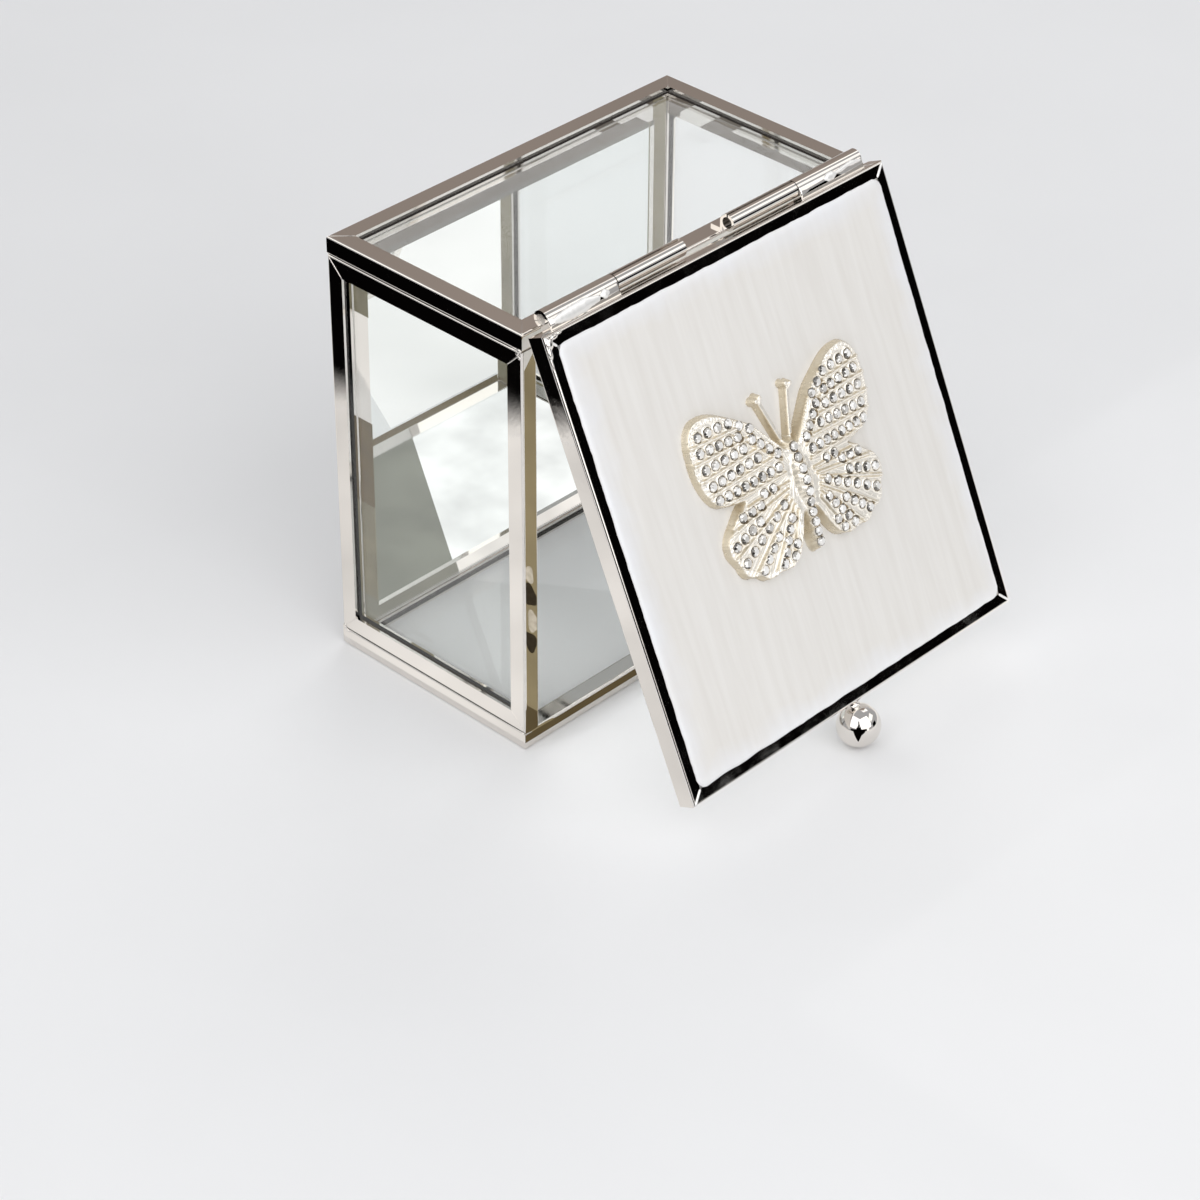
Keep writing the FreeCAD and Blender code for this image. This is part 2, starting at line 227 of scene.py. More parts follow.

# %% [markdown]
# ## Pale gold plate
# The butterfly is a die casting under pale gold plate. Light and shade are painted into its colour:
# bright on the level faces and the ribs, and painted shade on steep walls and round the stones. A
# value set on the casting later tells the finish how lit each spot is, and noise breaks it up.

# %% Pale gold plate
# Shaded, half-lit and lit tones of one gold: painted shade and painted highlight.
SHADED_GOLD, HALF_LIT_GOLD, LIT_GOLD = (0.34, 0.265, 0.17), (0.67, 0.59, 0.45), (0.96, 0.915, 0.835)
HALF_LIGHT = 0.14
PATCHES = 0.35
gold = new_finish("pale_gold_plate", {"Metallic": 0.5})
painted_light = add_node(gold, "ShaderNodeAttribute", attribute_name="painted_light")
patchy = calculate(gold, "MULTIPLY_ADD", mottle(gold, 420), PATCHES, painted_light.outputs["Fac"])
plate = tint(gold, patchy, SHADED_GOLD, LIT_GOLD, 0.0, 1.0)
plate.color_ramp.elements.new(HALF_LIGHT).color = (*HALF_LIT_GOLD, 1)
vary(gold, mottle(gold, 900), "Roughness", 0.2, 0.28)
roughen(gold, mottle(gold, 1800, 2.0), 0.03, 0.00008)
print("gold:", gold.name)

# %% [markdown]
# ## Glass, mirror and board
# The panes are plain float glass with a trace of green. The floor is silvered glass, close to a
# perfect mirror. The lid is backed by a white board, which the mirror shows from inside.

# %% Glass, mirror and board
glass = new_finish("clear_glass", {"Base Color": (0.985, 0.997, 0.993, 1),
                                   "Transmission Weight": 1, "IOR": 1.5})
vary(glass, mottle(glass, 60, 4.0), "Roughness", 0.0, 0.02, 0.55, 0.8)

silvered = new_finish("silvered_glass", {"Base Color": (0.90, 0.925, 0.915, 1), "Metallic": 1})
vary(silvered, mottle(silvered, 60, 4.0), "Roughness", 0.004, 0.03, 0.5, 0.8)

board = new_finish("white_board", {"Roughness": 0.5})
tint(board, mottle(board, 500), (0.80, 0.81, 0.805), (0.825, 0.835, 0.83))
roughen(board, mottle(board, 2500), 0.05, 0.0001)
print("panes:", glass.name, silvered.name, board.name)

# %% [markdown]
# ## Pearl enamel
# The lid is filled with ivory resin that holds pearl pigment. It was poured along one way, so faint
# streaks run up the lid. A paler, cooler band near the frame is a painted highlight.
# Two stretched noises make the streaks; the distance from the middle paints the highlight on the rim.

# %% Pearl enamel
RIM_START, RIM_END = 0.0395, 0.0465
WANDER = 0.008
UP_THE_LID, SLANT = (1.0, 0.07, 1.0), (0, 0, 0.1)
pearl = new_finish("pearl_enamel", {"Coat Weight": 0.4, "Coat Roughness": 0.06})
streaks = mottle(pearl, 620, 4.0, UP_THE_LID, SLANT)
ivory = tint(pearl, streaks, (0.745, 0.72, 0.685), (0.795, 0.775, 0.745), 0.3, 0.7)
spread = add_node(pearl, "ShaderNodeSeparateXYZ",
                  {"Vector": add_node(pearl, "ShaderNodeTexCoord").outputs["Object"]})
across, along = (calculate(pearl, "ABSOLUTE", spread.outputs[axis]) for axis in "XY")
reach = calculate(pearl, "MAXIMUM", across, along)
wander = calculate(pearl, "MULTIPLY_ADD", mottle(pearl, 120, 4.0), WANDER, reach)
# Painted highlight: a paler, cooler band near the frame.
rim = add_node(pearl, "ShaderNodeMapRange",
               {"Value": wander, "From Min": RIM_START, "From Max": RIM_END})
rim_highlight = add_node(pearl, "ShaderNodeMix", {"Factor": rim.outputs["Result"], "A": ivory.outputs["Color"],
                                         "B": (0.815, 0.825, 0.86, 1)}, data_type="RGBA")
feed(pearl, rim_highlight.outputs["Result"], "Base Color")
vary(pearl, mottle(pearl, 40), "Roughness", 0.25, 0.27, 0.0, 1.0)
roughen(pearl, mottle(pearl, 60, 2.0), 0.04, 0.0003)
print("enamel:", pearl.name)

# %% [markdown]
# ## Rhinestones
# The stones are cut glass with a mirrored back, so almost all the light that enters a facet comes
# out of another. Tracing that is slow and noisy. A glossy coat over real facets, each with a tone of
# its own for the part of the room that it throws back, gives the same play of white and dark.

# %% Rhinestones
stone_glass = new_finish("rhinestone", {"Metallic": 0.22, "Roughness": 0.1,
                                        "Coat Weight": 1, "Coat Roughness": 0.02})
tone = add_node(stone_glass, "ShaderNodeAttribute", attribute_name="stone_tone")
feed(stone_glass, tone.outputs["Color"], "Base Color")
print("stones:", stone_glass.name)

# %% [markdown]
# ## Dress the CAD nodes
# The bars, panes, hinge tubes and pins already have their true shapes, so they stay and only
# change finish. Clear panes hardly shade what is behind them, so they cast no shadow here.

# %% Dress the CAD nodes
def finish_for(node):
    """Finish of a CAD node, from its name."""
    if node.endswith("_glass"):
        return glass
    if node.startswith("hinge_pin"):
        return drawn_wire
    if node.startswith("lid_") and node.endswith("_bar"):
        return lid_nickel
    return {"base_mirror": silvered, "lid_board": board, "lid_enamel": pearl}.get(node, nickel)


for label, node in nodes.items():
    node.material_slots[0].material = finish_for(label)
    node.visible_shadow = not label.endswith("_glass")
print("dressed", len(nodes), "nodes")

# %% [markdown]
# ## Helpers for new pieces
# A finer piece is drawn in millimetres on the flat lid, or in the row's own frame, then carried to
# its place. It rides on its body and hides the node it stands for.

# %% Helpers for new pieces
def new_piece(name, spots, faces, place=None, smooth=True):
    """Make a mesh object from points in millimetres."""
    mesh = bpy.data.meshes.new(name)
    mesh.from_pydata([tuple(value * MM for value in spot) for spot in spots], [], faces)
    mesh.polygons.foreach_set("use_smooth", [smooth] * len(mesh.polygons))
    mesh.update()
    piece = add_object(name, mesh)
    piece.matrix_world = place or Matrix.Identity(4)
    return piece


def settle(piece, body, finish, slot, *stands_for):
    """Give a piece its finish and body and hide the nodes it stands for; slot is not used."""
    piece.data.materials.clear()
    piece.data.materials.append(finish)
    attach(piece, body)
    if stands_for:
        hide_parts(*stands_for)
    print(piece.name, len(piece.data.polygons), "faces")


def bridge(count, loops, first=0):
    """Faces between equal loops of points, with a flat face at each end."""
    faces = []
    last = first + (loops - 1) * count
    for here in range(first, last, count):
        there = here + count
        for n in range(count):
            after = (n + 1) % count
            faces.append((here + n, here + after, there + after, there + n))
    faces.append(tuple(reversed(range(first, first + count))))
    faces.append(tuple(range(last, last + count)))
    return faces


print("piece helpers ready")

# %% [markdown]
# ## Poured enamel
# The resin rises a little above the frame, rounds over at its rim and creeps unevenly onto the
# metal. A loop is walked round a rounded square, pushed in and out by noise, and repeated inwards
# along the profile of the rim.

# %% Poured enamel
half = (enamel_high[0] - enamel_low[0]) / 2 / MM
LOOP_STEPS = 360
CORNER = 1.7
CREEP = 0.15
TIGHTEST = 0.4
SLOW_CREEP, SLOW_PACE = 0.2, 0.22
FINE_CREEP, FINE_PACE, FINE_START = 0.09, 0.9, Vector((7, 3, 1))
RIM_PROFILE = ((0.5, -0.9), (0.35, -0.43), (0.0, -0.41), (0.03, -0.33), (0.12, -0.22), (0.3, -0.12),
               (0.6, -0.05), (1.2, -0.015), (2.4, 0.0))


def rounded_square(reach, corner, turn):
    """Point and outward direction on a rounded square, at a turn from 0 to 1."""
    side = 2 * (reach - corner)
    arc = math.pi / 2 * corner
    quarter, rest = divmod(turn * 4, 1)
    way = rest * (side + arc)
    if way < side:
        spot, out = Vector((reach, way - side / 2, 0)), Vector((1, 0, 0))
    else:
        bend = (way - side) / corner
        out = Vector((math.cos(bend), math.sin(bend), 0))
        spot = Vector((reach - corner, reach - corner, 0)) + out * corner
    spin = Quaternion((0, 0, 1), quarter * math.pi / 2)
    return spin @ spot, spin @ out


def creep(spot):
    """Uneven edge of the poured resin, in millimetres."""
    slow = SLOW_CREEP * noise.noise(spot * SLOW_PACE)
    return slow + FINE_CREEP * noise.noise(spot * FINE_PACE + FINE_START)


enamel_spots = []
for inset, rise in RIM_PROFILE:
    for step in range(LOOP_STEPS):
        corner = max(CORNER - inset, TIGHTEST)
        spot, out = rounded_square(half + CREEP - inset, corner, step / LOOP_STEPS)
        fade = max(0.0, 1 - inset / RIM_PROFILE[-1][0])
        edge = spot + out * (creep(spot) * fade)
        enamel_spots.append((edge.x, edge.y, rise))
enamel = new_piece("poured_enamel", enamel_spots, bridge(LOOP_STEPS, len(RIM_PROFILE)), lid_place)
settle(enamel, "lid", pearl, "pearl_enamel", "lid_enamel")

# %% [markdown]
# ## Where the stones sit
# Each stone of the CAD part is a small faceted block. Welding a copy of its node and walking over
# linked edges gives one group per stone; the middle of its base and of its top give its place
# and the way it faces.

# %% Where the stones sit
STONE_GROUPS = ("stones_left_upper", "stones_left_lower",
                "stones_right_upper", "stones_right_lower", "stones_spine")
WELD = 1e-6


def stone_seats(node):
    """Base and axis of every stone in a node, on the flat lid in millimetres."""
    shape = bmesh.new()
    shape.from_mesh(nodes[node].data)
    bmesh.ops.remove_doubles(shape, verts=shape.verts, dist=WELD)
    waiting = set(shape.verts)
    seats = []
    while waiting:
        group = [waiting.pop()]
        for vertex in group:
            linked = {edge.other_vert(vertex) for edge in vertex.link_edges} & waiting
            waiting -= linked
            group.extend(linked)
        spots = sorted((off_lid @ vertex.co / MM for vertex in group), key=lambda spot: spot.z)
        girdle, top = spots[: len(spots) // 2], spots[len(spots) // 2:]
        base = sum(girdle, Vector()) / len(girdle)
        axis = (sum(top, Vector()) / len(top) - base).normalized()
        seats.append((base, axis))
    shape.free()
    return sorted(seats, key=lambda seat: tuple(seat[0]))


seats = {node: stone_seats(node) for node in STONE_GROUPS}
print({node: len(places) for node, places in seats.items()})

# %% [markdown]
# ## Butterfly casting
# The real one is a die casting: soft edges, raised veins, a segmented body and a small cup round
# every stone. It could be sculpted, but a formula keeps it editable. Its solid is sampled from above
# on a fine grid, which gives a relief like a coin's, and everything finer is added to that relief.

# %% Sample the casting's relief
STEP = 0.1
ABOVE = 20
LEFT, RIGHT, BOTTOM, TOP = -22.8, 22.8, -14.6, 19.2
columns = np.arange(LEFT, RIGHT, STEP)
rows = np.arange(BOTTOM, TOP, STEP)
casting = nodes["butterfly_casting"].data
tree = BVHTree.FromPolygons([off_lid @ vertex.co / MM for vertex in casting.vertices],
                            [tuple(face.vertices) for face in casting.polygons])
relief = np.zeros((len(rows), len(columns)))
DOWN = Vector((0, 0, -1))
for j, v in enumerate(rows):
    for i, u in enumerate(columns):
        hit = tree.ray_cast(Vector((u, v, ABOVE)), DOWN)[0]
        if hit is not None:
            relief[j, i] = hit.z
print("relief", relief.shape, "highest", round(relief.max(), 2), "mm")

# %% [markdown]
# ## Soften the relief
# Cast metal has no sharp edges, so the relief is blurred a little. The veins are lifted again by
# what stands above a wider blur, and the body is rounded and cut into segments.

# %% Soften the relief
METAL = 0.2
EDGE_BLUR, VEIN_BLUR, BODY_BLUR = 1.2, 7, 3.0
VEIN_GAIN, VEIN_LIMIT, VEIN_INSET, VEIN_SHARE = 0.8, 0.4, 5, 0.97
BODY_HALF, BODY_TOP, BODY_LOW, BODY_SINK = 2.0, 7.5, 0.4, 0.05
SEGMENT, SEGMENT_RISE, SEGMENTS_TOP = 1.15, 0.1, 6


def soften(field, spread):
    """Blur a grid by a spread in cells."""
    reach = int(3 * spread) + 1
    weights = np.exp(-0.5 * (np.arange(-reach, reach + 1) / spread) ** 2)
    weights /= weights.sum()
    for axis in (0, 1):
        field = np.apply_along_axis(np.convolve, axis, field, weights, "same")
    return field


grid_u, grid_v = np.meshgrid(columns, rows)
solid = relief > METAL


def well_inside(spread, share):
    """Cells that lie in from the outline of the casting."""
    return soften(solid.astype(float), spread) > share


skin = soften(relief, EDGE_BLUR)
veins = np.clip(skin - soften(relief, VEIN_BLUR), 0, VEIN_LIMIT)
skin += VEIN_GAIN * veins * well_inside(VEIN_INSET, VEIN_SHARE)
body_share = np.exp(-(grid_u / BODY_HALF) ** 4) * (grid_v < BODY_TOP)
rounder = soften(relief, BODY_BLUR)
segments = SEGMENT_RISE * np.abs(np.sin(grid_v * math.pi / SEGMENT)) * (grid_v < SEGMENTS_TOP)
skin += body_share * (rounder - skin + segments * (rounder > BODY_LOW) - BODY_SINK)
print("highest after softening", round(skin.max(), 2), "mm")

# %% [markdown]
# ## Cups round the stones
# Every stone sits in a low ring of metal with four small claws. Under the stone the relief is cut
# down to its seat, so that the metal never shows through the glass.

# %% Cups round the stones
CUP_RADIUS, CUP_WALL, CUP_RISE = 1.03, 0.1, 0.26
CLAWS, CLAW_SHARE = 4, 0.15
SEAT_RADIUS = 0.86
for places in seats.values():
    for base, axis in places:
        away = np.hypot(grid_u - base.x, grid_v - base.y)
        angle = np.arctan2(grid_v - base.y, grid_u - base.x)
        claws = 1 - CLAW_SHARE + CLAW_SHARE * np.cos(CLAWS * angle)
        seat = away < SEAT_RADIUS
        skin[seat] = np.minimum(skin[seat], base.z)
        skin += CUP_RISE * np.exp(-(((away - CUP_RADIUS) / CUP_WALL) ** 2)) * claws * solid
print("cups", sum(len(places) for places in seats.values()))

# %% [markdown]
# ## Beads and hatching on the wings
# The die was cut with fine lines that fan out from the root of each wing, and with a row of beads
# along its leading edge. Lines are waves over the bearing from the root. For the beads, rays from
# the root find the edge, and a small mound is set at even steps along it.

# %% Beads and hatching on the wings
ROOT_U, ROOT_V = 1.5, 2.0
MARGIN_BLUR, DEEP = 10, 0.8
WING_START, BODY_EDGE = 2.6, 1.7
FRINGE_LINE, FRINGE_WIDTH, FRINGE_START = 0.72, 0.12, 7
FIELD_START = 4
FAN_START, FAN_REACH = 0.8, 4.5
BEAD_INSET, BEAD_PITCH, BEAD_RISE, BEAD_RADIUS = 1.25, 0.52, 0.17, 0.19
LEADING_TURNS = np.radians(np.arange(28, 84, 0.25))
RAY = np.arange(3, 26, 0.05)


def grid_cells(u, v):
    """Rows and columns of the grid nearest to points on the flat lid."""
    row = np.clip(np.round((v - BOTTOM) / STEP).astype(int), 0, len(rows) - 1)
    column = np.clip(np.round((u - LEFT) / STEP).astype(int), 0, len(columns) - 1)
    return row, column


def hatch(bearing, lines, rise):
    """Fine lines that fan out from the root of a wing."""
    return rise * np.sin(bearing * lines)


margin = soften(solid.astype(float), MARGIN_BLUR)
for side in (-1, 1):
    bearing = np.arctan2(grid_v - ROOT_V, side * grid_u - ROOT_U)
    reach_out = np.hypot(grid_v - ROOT_V, side * grid_u - ROOT_U)
    on_wing = (side * grid_u > WING_START) & solid
    fringe = np.exp(-(((margin - FRINGE_LINE) / FRINGE_WIDTH) ** 2)) * on_wing
    field = on_wing & (reach_out > FIELD_START) & (margin > DEEP)
    at_root = solid & (side * grid_u > BODY_EDGE) & (reach_out > FAN_START) & (margin > DEEP)
    skin += hatch(bearing, lines=150, rise=0.07) * fringe * (reach_out > FRINGE_START)
    skin += hatch(bearing, lines=95, rise=0.03) * field
    skin += hatch(bearing, lines=34, rise=0.05) * np.exp(-((reach_out / FAN_REACH) ** 4)) * at_root
    beads = []
    for turn in LEADING_TURNS:
        way_u, way_v = side * math.cos(turn), math.sin(turn)
        metal = RAY[solid[grid_cells(side * ROOT_U + RAY * way_u, ROOT_V + RAY * way_v)]]
        if not len(metal):
            continue
        edge = metal[-1] - BEAD_INSET
        u, v = side * ROOT_U + edge * way_u, ROOT_V + edge * way_v
        if not beads or math.dist((u, v), beads[-1]) > BEAD_PITCH:
            beads.append((u, v))
            skin += BEAD_RISE * np.exp(-((grid_u - u) ** 2 + (grid_v - v) ** 2) / BEAD_RADIUS ** 2) * solid
    print("beads along the leading edge", len(beads))

# %% [markdown]
# ## Skin the relief
# The grid becomes a mesh: cells on the metal keep their height, one ring of cells round it is sunk
# into the enamel, and the underside is closed. The slope of the relief then gives the painted light
# that the gold finish reads, with a ring of painted shade inside every cup.

# %% Skin the relief
SUNK = -0.15
SKIN_LOW = 0.06
FULL_LIGHT, SLOPE_SHADE = 1.15, 0.75
RING_INNER, RING_OUTER, RING_SHADE = 0.2, 0.02, -0.4
RING_INSET, RING_SHARE = 3, 0.98
inside = skin > SKIN_LOW
kept = inside.copy()
for down in (-1, 0, 1):
    for aside in (-1, 0, 1):
        kept |= np.roll(inside, (down, aside), (0, 1))
numbers = np.full(relief.shape, -1)
numbers[kept] = np.arange(kept.sum())
skin_spots = np.column_stack((grid_u[kept], grid_v[kept], np.where(inside, skin, SUNK)[kept]))
cells = kept[:-1, :-1] & kept[1:, :-1] & kept[:-1, 1:] & kept[1:, 1:]
skin_faces = np.column_stack((numbers[:-1, :-1][cells], numbers[:-1, 1:][cells],
                              numbers[1:, 1:][cells], numbers[1:, :-1][cells]))
butterfly = new_piece("butterfly", skin_spots.tolist(), skin_faces.tolist(), lid_place)
shape = bmesh.new()
shape.from_mesh(butterfly.data)
bmesh.ops.delete(shape, geom=[vertex for vertex in shape.verts if not vertex.link_faces], context="VERTS")
bmesh.ops.holes_fill(shape, edges=[edge for edge in shape.edges if edge.is_boundary], sides=0)
shape.to_mesh(butterfly.data)
shape.free()

# Painted light: level spots lit, steep walls in painted shade.
slope = np.hypot(*np.gradient(soften(skin, 1.0), STEP))
painted_light_share = np.clip(FULL_LIGHT - slope * SLOPE_SHADE, 0, 1)
deep_inside = well_inside(RING_INSET, RING_SHARE)
# Painted shade in a ring inside every cup.
for places in seats.values():
    for base, axis in places:
        away = CUP_RADIUS - np.hypot(grid_u - base.x, grid_v - base.y)
        painted_light_share[(away < RING_INNER) & (away > RING_OUTER) & deep_inside] = RING_SHADE
on_lid_spots = np.empty(3 * len(butterfly.data.vertices), np.float32)
butterfly.data.vertices.foreach_get("co", on_lid_spots)
on_lid_u, on_lid_v, _ = on_lid_spots.reshape(-1, 3).T / MM
lit_share = painted_light_share[grid_cells(on_lid_u, on_lid_v)]
painted_light_layer = butterfly.data.color_attributes.new("painted_light", "FLOAT_COLOR", "POINT")
painted_light_layer.data.foreach_set("color", np.column_stack((lit_share, lit_share, lit_share, np.ones_like(lit_share))).ravel())
settle(butterfly, "lid", gold, "pale_gold", "butterfly_casting")

# %% [markdown]
# ## Cut stones
# Each stone is a small brilliant: an eight-sided table, eight star facets, eight kites and sixteen
# facets down to the girdle. Rings of points are stacked and joined by faces listed one by one, because
# no standard shape has this cut.

# %% Cut stones
STONE_RADIUS, STONE_RISE = 0.9, 0.62
TABLE_SHARE, MIDDLE_SHARE, GROUND_SHARE = 0.55, 0.79, 0.97
MIDDLE_RISE_SHARE, GIRDLE_RISE_SHARE = 0.74, 0.36
SIDES = 8
MIDDLE_AT, GIRDLE_AT, GROUND_AT = SIDES, 2 * SIDES, 4 * SIDES


def brilliant():
    """Points and faces of one brilliant that stands on the ground."""
    def ring(count, reach, rise, phase=0.0):
        turns = [(n + phase) * math.tau / count for n in range(count)]
        return [Vector((reach * math.cos(turn), reach * math.sin(turn), rise)) for turn in turns]

    table = ring(SIDES, STONE_RADIUS * TABLE_SHARE, STONE_RISE)
    middle = ring(SIDES, STONE_RADIUS * MIDDLE_SHARE, STONE_RISE * MIDDLE_RISE_SHARE, 0.5)
    girdle = ring(2 * SIDES, STONE_RADIUS, STONE_RISE * GIRDLE_RISE_SHARE)
    ground = ring(2 * SIDES, STONE_RADIUS * GROUND_SHARE, 0)
    spots = table + middle + girdle + ground
    faces = [tuple(range(SIDES)), tuple(reversed(range(GROUND_AT, len(spots))))]
    for n in range(SIDES):
        before, after = (n - 1) % SIDES, (n + 1) % SIDES
        corner, half_way, next_corner = (GIRDLE_AT + 2 * n, GIRDLE_AT + 2 * n + 1, GIRDLE_AT + 2 * after)
        faces.append((n, MIDDLE_AT + n, after))
        faces.append((n, MIDDLE_AT + before, corner, MIDDLE_AT + n))
        faces.append((MIDDLE_AT + n, corner, half_way))
        faces.append((MIDDLE_AT + n, half_way, next_corner))
    for n in range(2 * SIDES):
        after = (n + 1) % (2 * SIDES)
        faces.append((GROUND_AT + n, GROUND_AT + after, GIRDLE_AT + after, GIRDLE_AT + n))
    return spots, faces


gem_spots, gem_faces = brilliant()
print("one stone has", len(gem_faces), "faces")

# %% [markdown]
# ## Setting and tones of the stones
# The stones are set by hand, so each is turned and tipped a little. Most facets throw back something
# white, those towards the unlit side go nearly black, and the girdle stays brown from the metal round
# it. A seeded draw decides. Only on the spine, where rounding decides the order of the stones, can
# they swap their tones from one run to the next.

# %% Setting and tones of the stones
STONE_SEED = 41
TIP_LIMIT = 7
TINY = 0.001
STAR_SHARE, DARK_LEAN = 0.64, 0.55
TABLE_GREYS, STAR_GREYS, KITE_GREYS = (0.75, 0.95, 1.0, 1.0), (0.3, 0.9, 1.0, 1.0), (0.5, 0.9, 1.0, 1.0)
GIRDLE_GREYS, DARK_GREYS, LOW_GREYS = (0.08, 0.25), (0.03, 0.2), (0.2, 0.7)
BROWN_SHARES = (1.0, 0.86, 0.66)
CLEAR_SHARES, WARM_SHARES = (1.0, 0.985, 0.96), (0.0, 0.055, 0.13)
draw = random.Random(STONE_SEED)


def facet_tone(face, dark_way):
    """Colour of one facet: mostly bright, dark towards the unlit room, brown at the girdle."""
    middle = sum((gem_spots[n] for n in face), Vector()) / len(face)
    if min(face) >= GIRDLE_AT:
        grey = draw.uniform(*GIRDLE_GREYS)
        return [grey * share for share in BROWN_SHARES]
    if len(face) == SIDES:
        grey = draw.choice(TABLE_GREYS)
    elif middle.xy.length < STAR_SHARE * STONE_RADIUS:
        grey = draw.choice(STAR_GREYS)
    elif middle.xy.normalized().dot(dark_way) > DARK_LEAN:
        grey = draw.uniform(*DARK_GREYS)
    elif min(face) >= MIDDLE_AT:
        grey = draw.uniform(*LOW_GREYS)
    else:
        grey = draw.choice(KITE_GREYS)
    return [grey * (clear - warm * (1 - grey)) for clear, warm in zip(CLEAR_SHARES, WARM_SHARES)]


UP = Vector((0, 0, 1))
for node, places in seats.items():
    spots, faces, tones = [], [], []
    for base, axis in places:
        tip_axis = (draw.gauss(0, 1), draw.gauss(0, 1), TINY)
        tip = Quaternion(tip_axis, math.radians(draw.uniform(0, TIP_LIMIT)))
        turn = UP.rotation_difference(axis) @ tip @ Quaternion(UP, draw.uniform(0, math.tau))
        first = len(spots)
        spots += [base + turn @ spot for spot in gem_spots]
        faces += [tuple(first + n for n in face) for face in gem_faces]
        heading = draw.uniform(0, math.tau)
        dark_way = Vector((math.cos(heading), math.sin(heading)))
        for face in gem_faces:
            tones += [(*facet_tone(face, dark_way), 1)] * len(face)
    gems = new_piece(node.replace("stones", "rhinestones"), spots, faces, lid_place, smooth=False)
    attribute = gems.data.color_attributes.new("stone_tone", "FLOAT_COLOR", "CORNER")
    attribute.data.foreach_set("color", [value for tone_of in tones for value in tone_of])
    settle(gems, "lid", stone_glass, "stones", node)

# %% [markdown]
# ## Ball knob
# The knob is a plated ball on a short stud, soldered under the free edge of the lid. One outline is
# turned round its axis: the ball, a small fillet of solder at its neck, and a flare at the lid.

# %% Ball knob
KNOB_REACH = 4.85
NECK_FILLET = 0.35
NECK_PROFILE = ((0.15, 0.2), (0.35, 0.08), (0.55, 0.05), (0.75, 0.12), (0.9, 0.3), (1.0, 0.55))
BALL_STEPS = 40
TURN_STEPS = 72
ball_low, ball_high = lid_span("knob_ball")
stud_low, stud_high = lid_span("knob_stud")
ball_radius = (ball_high[0] - ball_low[0]) / 2
ball_centre = Vector((ball_low + ball_high) / 2)
ball_centre.y = stud_high[1] - KNOB_REACH
neck = (stud_high[0] - stud_low[0]) / 2
neck_turn = math.acos((neck + NECK_FILLET) / ball_radius)
outline = []
for step in range(1, BALL_STEPS + 1):
    bend = -math.pi / 2 + (math.pi / 2 + neck_turn) * step / BALL_STEPS
    outline.append((ball_radius * math.cos(bend), ball_radius * math.sin(bend)))
foot = outline[-1][1]
for share, flare in NECK_PROFILE:
    outline.append((neck + flare, foot + (KNOB_REACH - foot) * share))
knob_spots = []
for reach_out, rise in outline:
    for step in range(TURN_STEPS):
        turn = step * math.tau / TURN_STEPS
        around = Vector((reach_out * math.cos(turn), rise, -reach_out * math.sin(turn)))
        knob_spots.append(ball_centre + around)
knob = new_piece("ball_knob", knob_spots, bridge(TURN_STEPS, len(outline)), lid_place)
settle(knob, "lid", nickel, "nickel", "knob_ball", "knob_stud")

# %% [markdown]
# ## Mitre seams
# Where two bars meet at a corner, the cut is filled with solder and plated over, which leaves a low
# rounded line across the corner. Each is a thin half-sunk bead from the outer to the inner corner.

# %% Mitre seams
SEAM, SEAM_SIDES, SEAM_SPREAD, SEAM_START = 0.08, 10, 1.5, 0.3
SEAM_PROFILE = ((0.0, 0.3), (0.04, 0.75), (0.12, 1.0), (0.88, 1.0), (0.96, 0.75), (1.0, 0.3))
CHANNEL, LID_CHANNEL = 3.5, 2.4


def seam_bead(beads, start, end, face_out, thick):
    """Add one low bead between two points, half sunk in the face."""
    spots, faces = beads
    along = (end - start).normalized()
    aside = along.cross(face_out).normalized()
    length = (end - start).length
    first = len(spots)
    for share, swell in SEAM_PROFILE:
        for side in range(SEAM_SIDES):
            turn = side * math.tau / SEAM_SIDES
            spread = aside * (math.cos(turn) * SEAM_SPREAD) + face_out * math.sin(turn)
            spots.append(start + along * (length * share) + spread * (thick * swell))
    faces += bridge(SEAM_SIDES, len(SEAM_PROFILE), first)


def corner_seams(beads, low, high, inset, lift, thick=SEAM):
    """Add beads at the corners of a flat frame; lift carries a flat corner to its face."""
    out = (lift(0, 0, 1) - lift(0, 0, 0)).normalized()
    for across, near in ((low[0], 1), (high[0], -1)):
        for upward, above in ((low[1], 1), (high[1], -1)):
            start = lift(across + near * SEAM_START, upward + above * SEAM_START, 0)
            end = lift(across + near * inset, upward + above * inset, 0)
            seam_bead(beads, start, end, out, thick)


def wall_corners(prefix, *axes):
    """Lowest and highest corner of a wall's frame along some axes, in millimetres."""
    boxes = [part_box(label) for label in nodes if label.startswith(prefix) and label.endswith("_bar")]
    low = [min(box[0][axis] for box in boxes) / MM for axis in axes]
    high = [max(box[1][axis] for box in boxes) / MM for axis in axes]
    return low, high


_, (top_z,) = wall_corners("back_wall", 2)
_, (base_y,) = wall_corners("base", 1)
(left_x,), _ = wall_corners("left_wall", 0)
_, (right_x,) = wall_corners("right_wall", 0)
FRAMES = (("back_wall", (0, 1), lambda x, y, out: Vector((x, y, top_z + out))),
          ("left_wall", (1, 2), lambda y, z, out: Vector((left_x - out, y, z))),
          ("right_wall", (1, 2), lambda y, z, out: Vector((right_x + out, y, z))),
          ("base", (0, 2), lambda x, z, out: Vector((x, base_y + out, z))))
box_beads = [], []
for wall, axes, lift in FRAMES:
    corner_seams(box_beads, *wall_corners(wall, *axes), CHANNEL, lift)
settle(new_piece("box_mitre_seams", *box_beads), "box", nickel, "nickel")

lid_low, lid_high = lid_span("lid_left_bar")
lid_half, lid_face = -lid_low[0], lid_high[2]
lid_beads = [], []
corner_seams(lid_beads, (-lid_half, -lid_half), (lid_half, lid_half), LID_CHANNEL,
             lambda u, v, out: Vector((u, v, lid_face + out)), 2 * SEAM)
settle(new_piece("lid_mitre_seams", *lid_beads, lid_place), "lid", solder, "nickel")
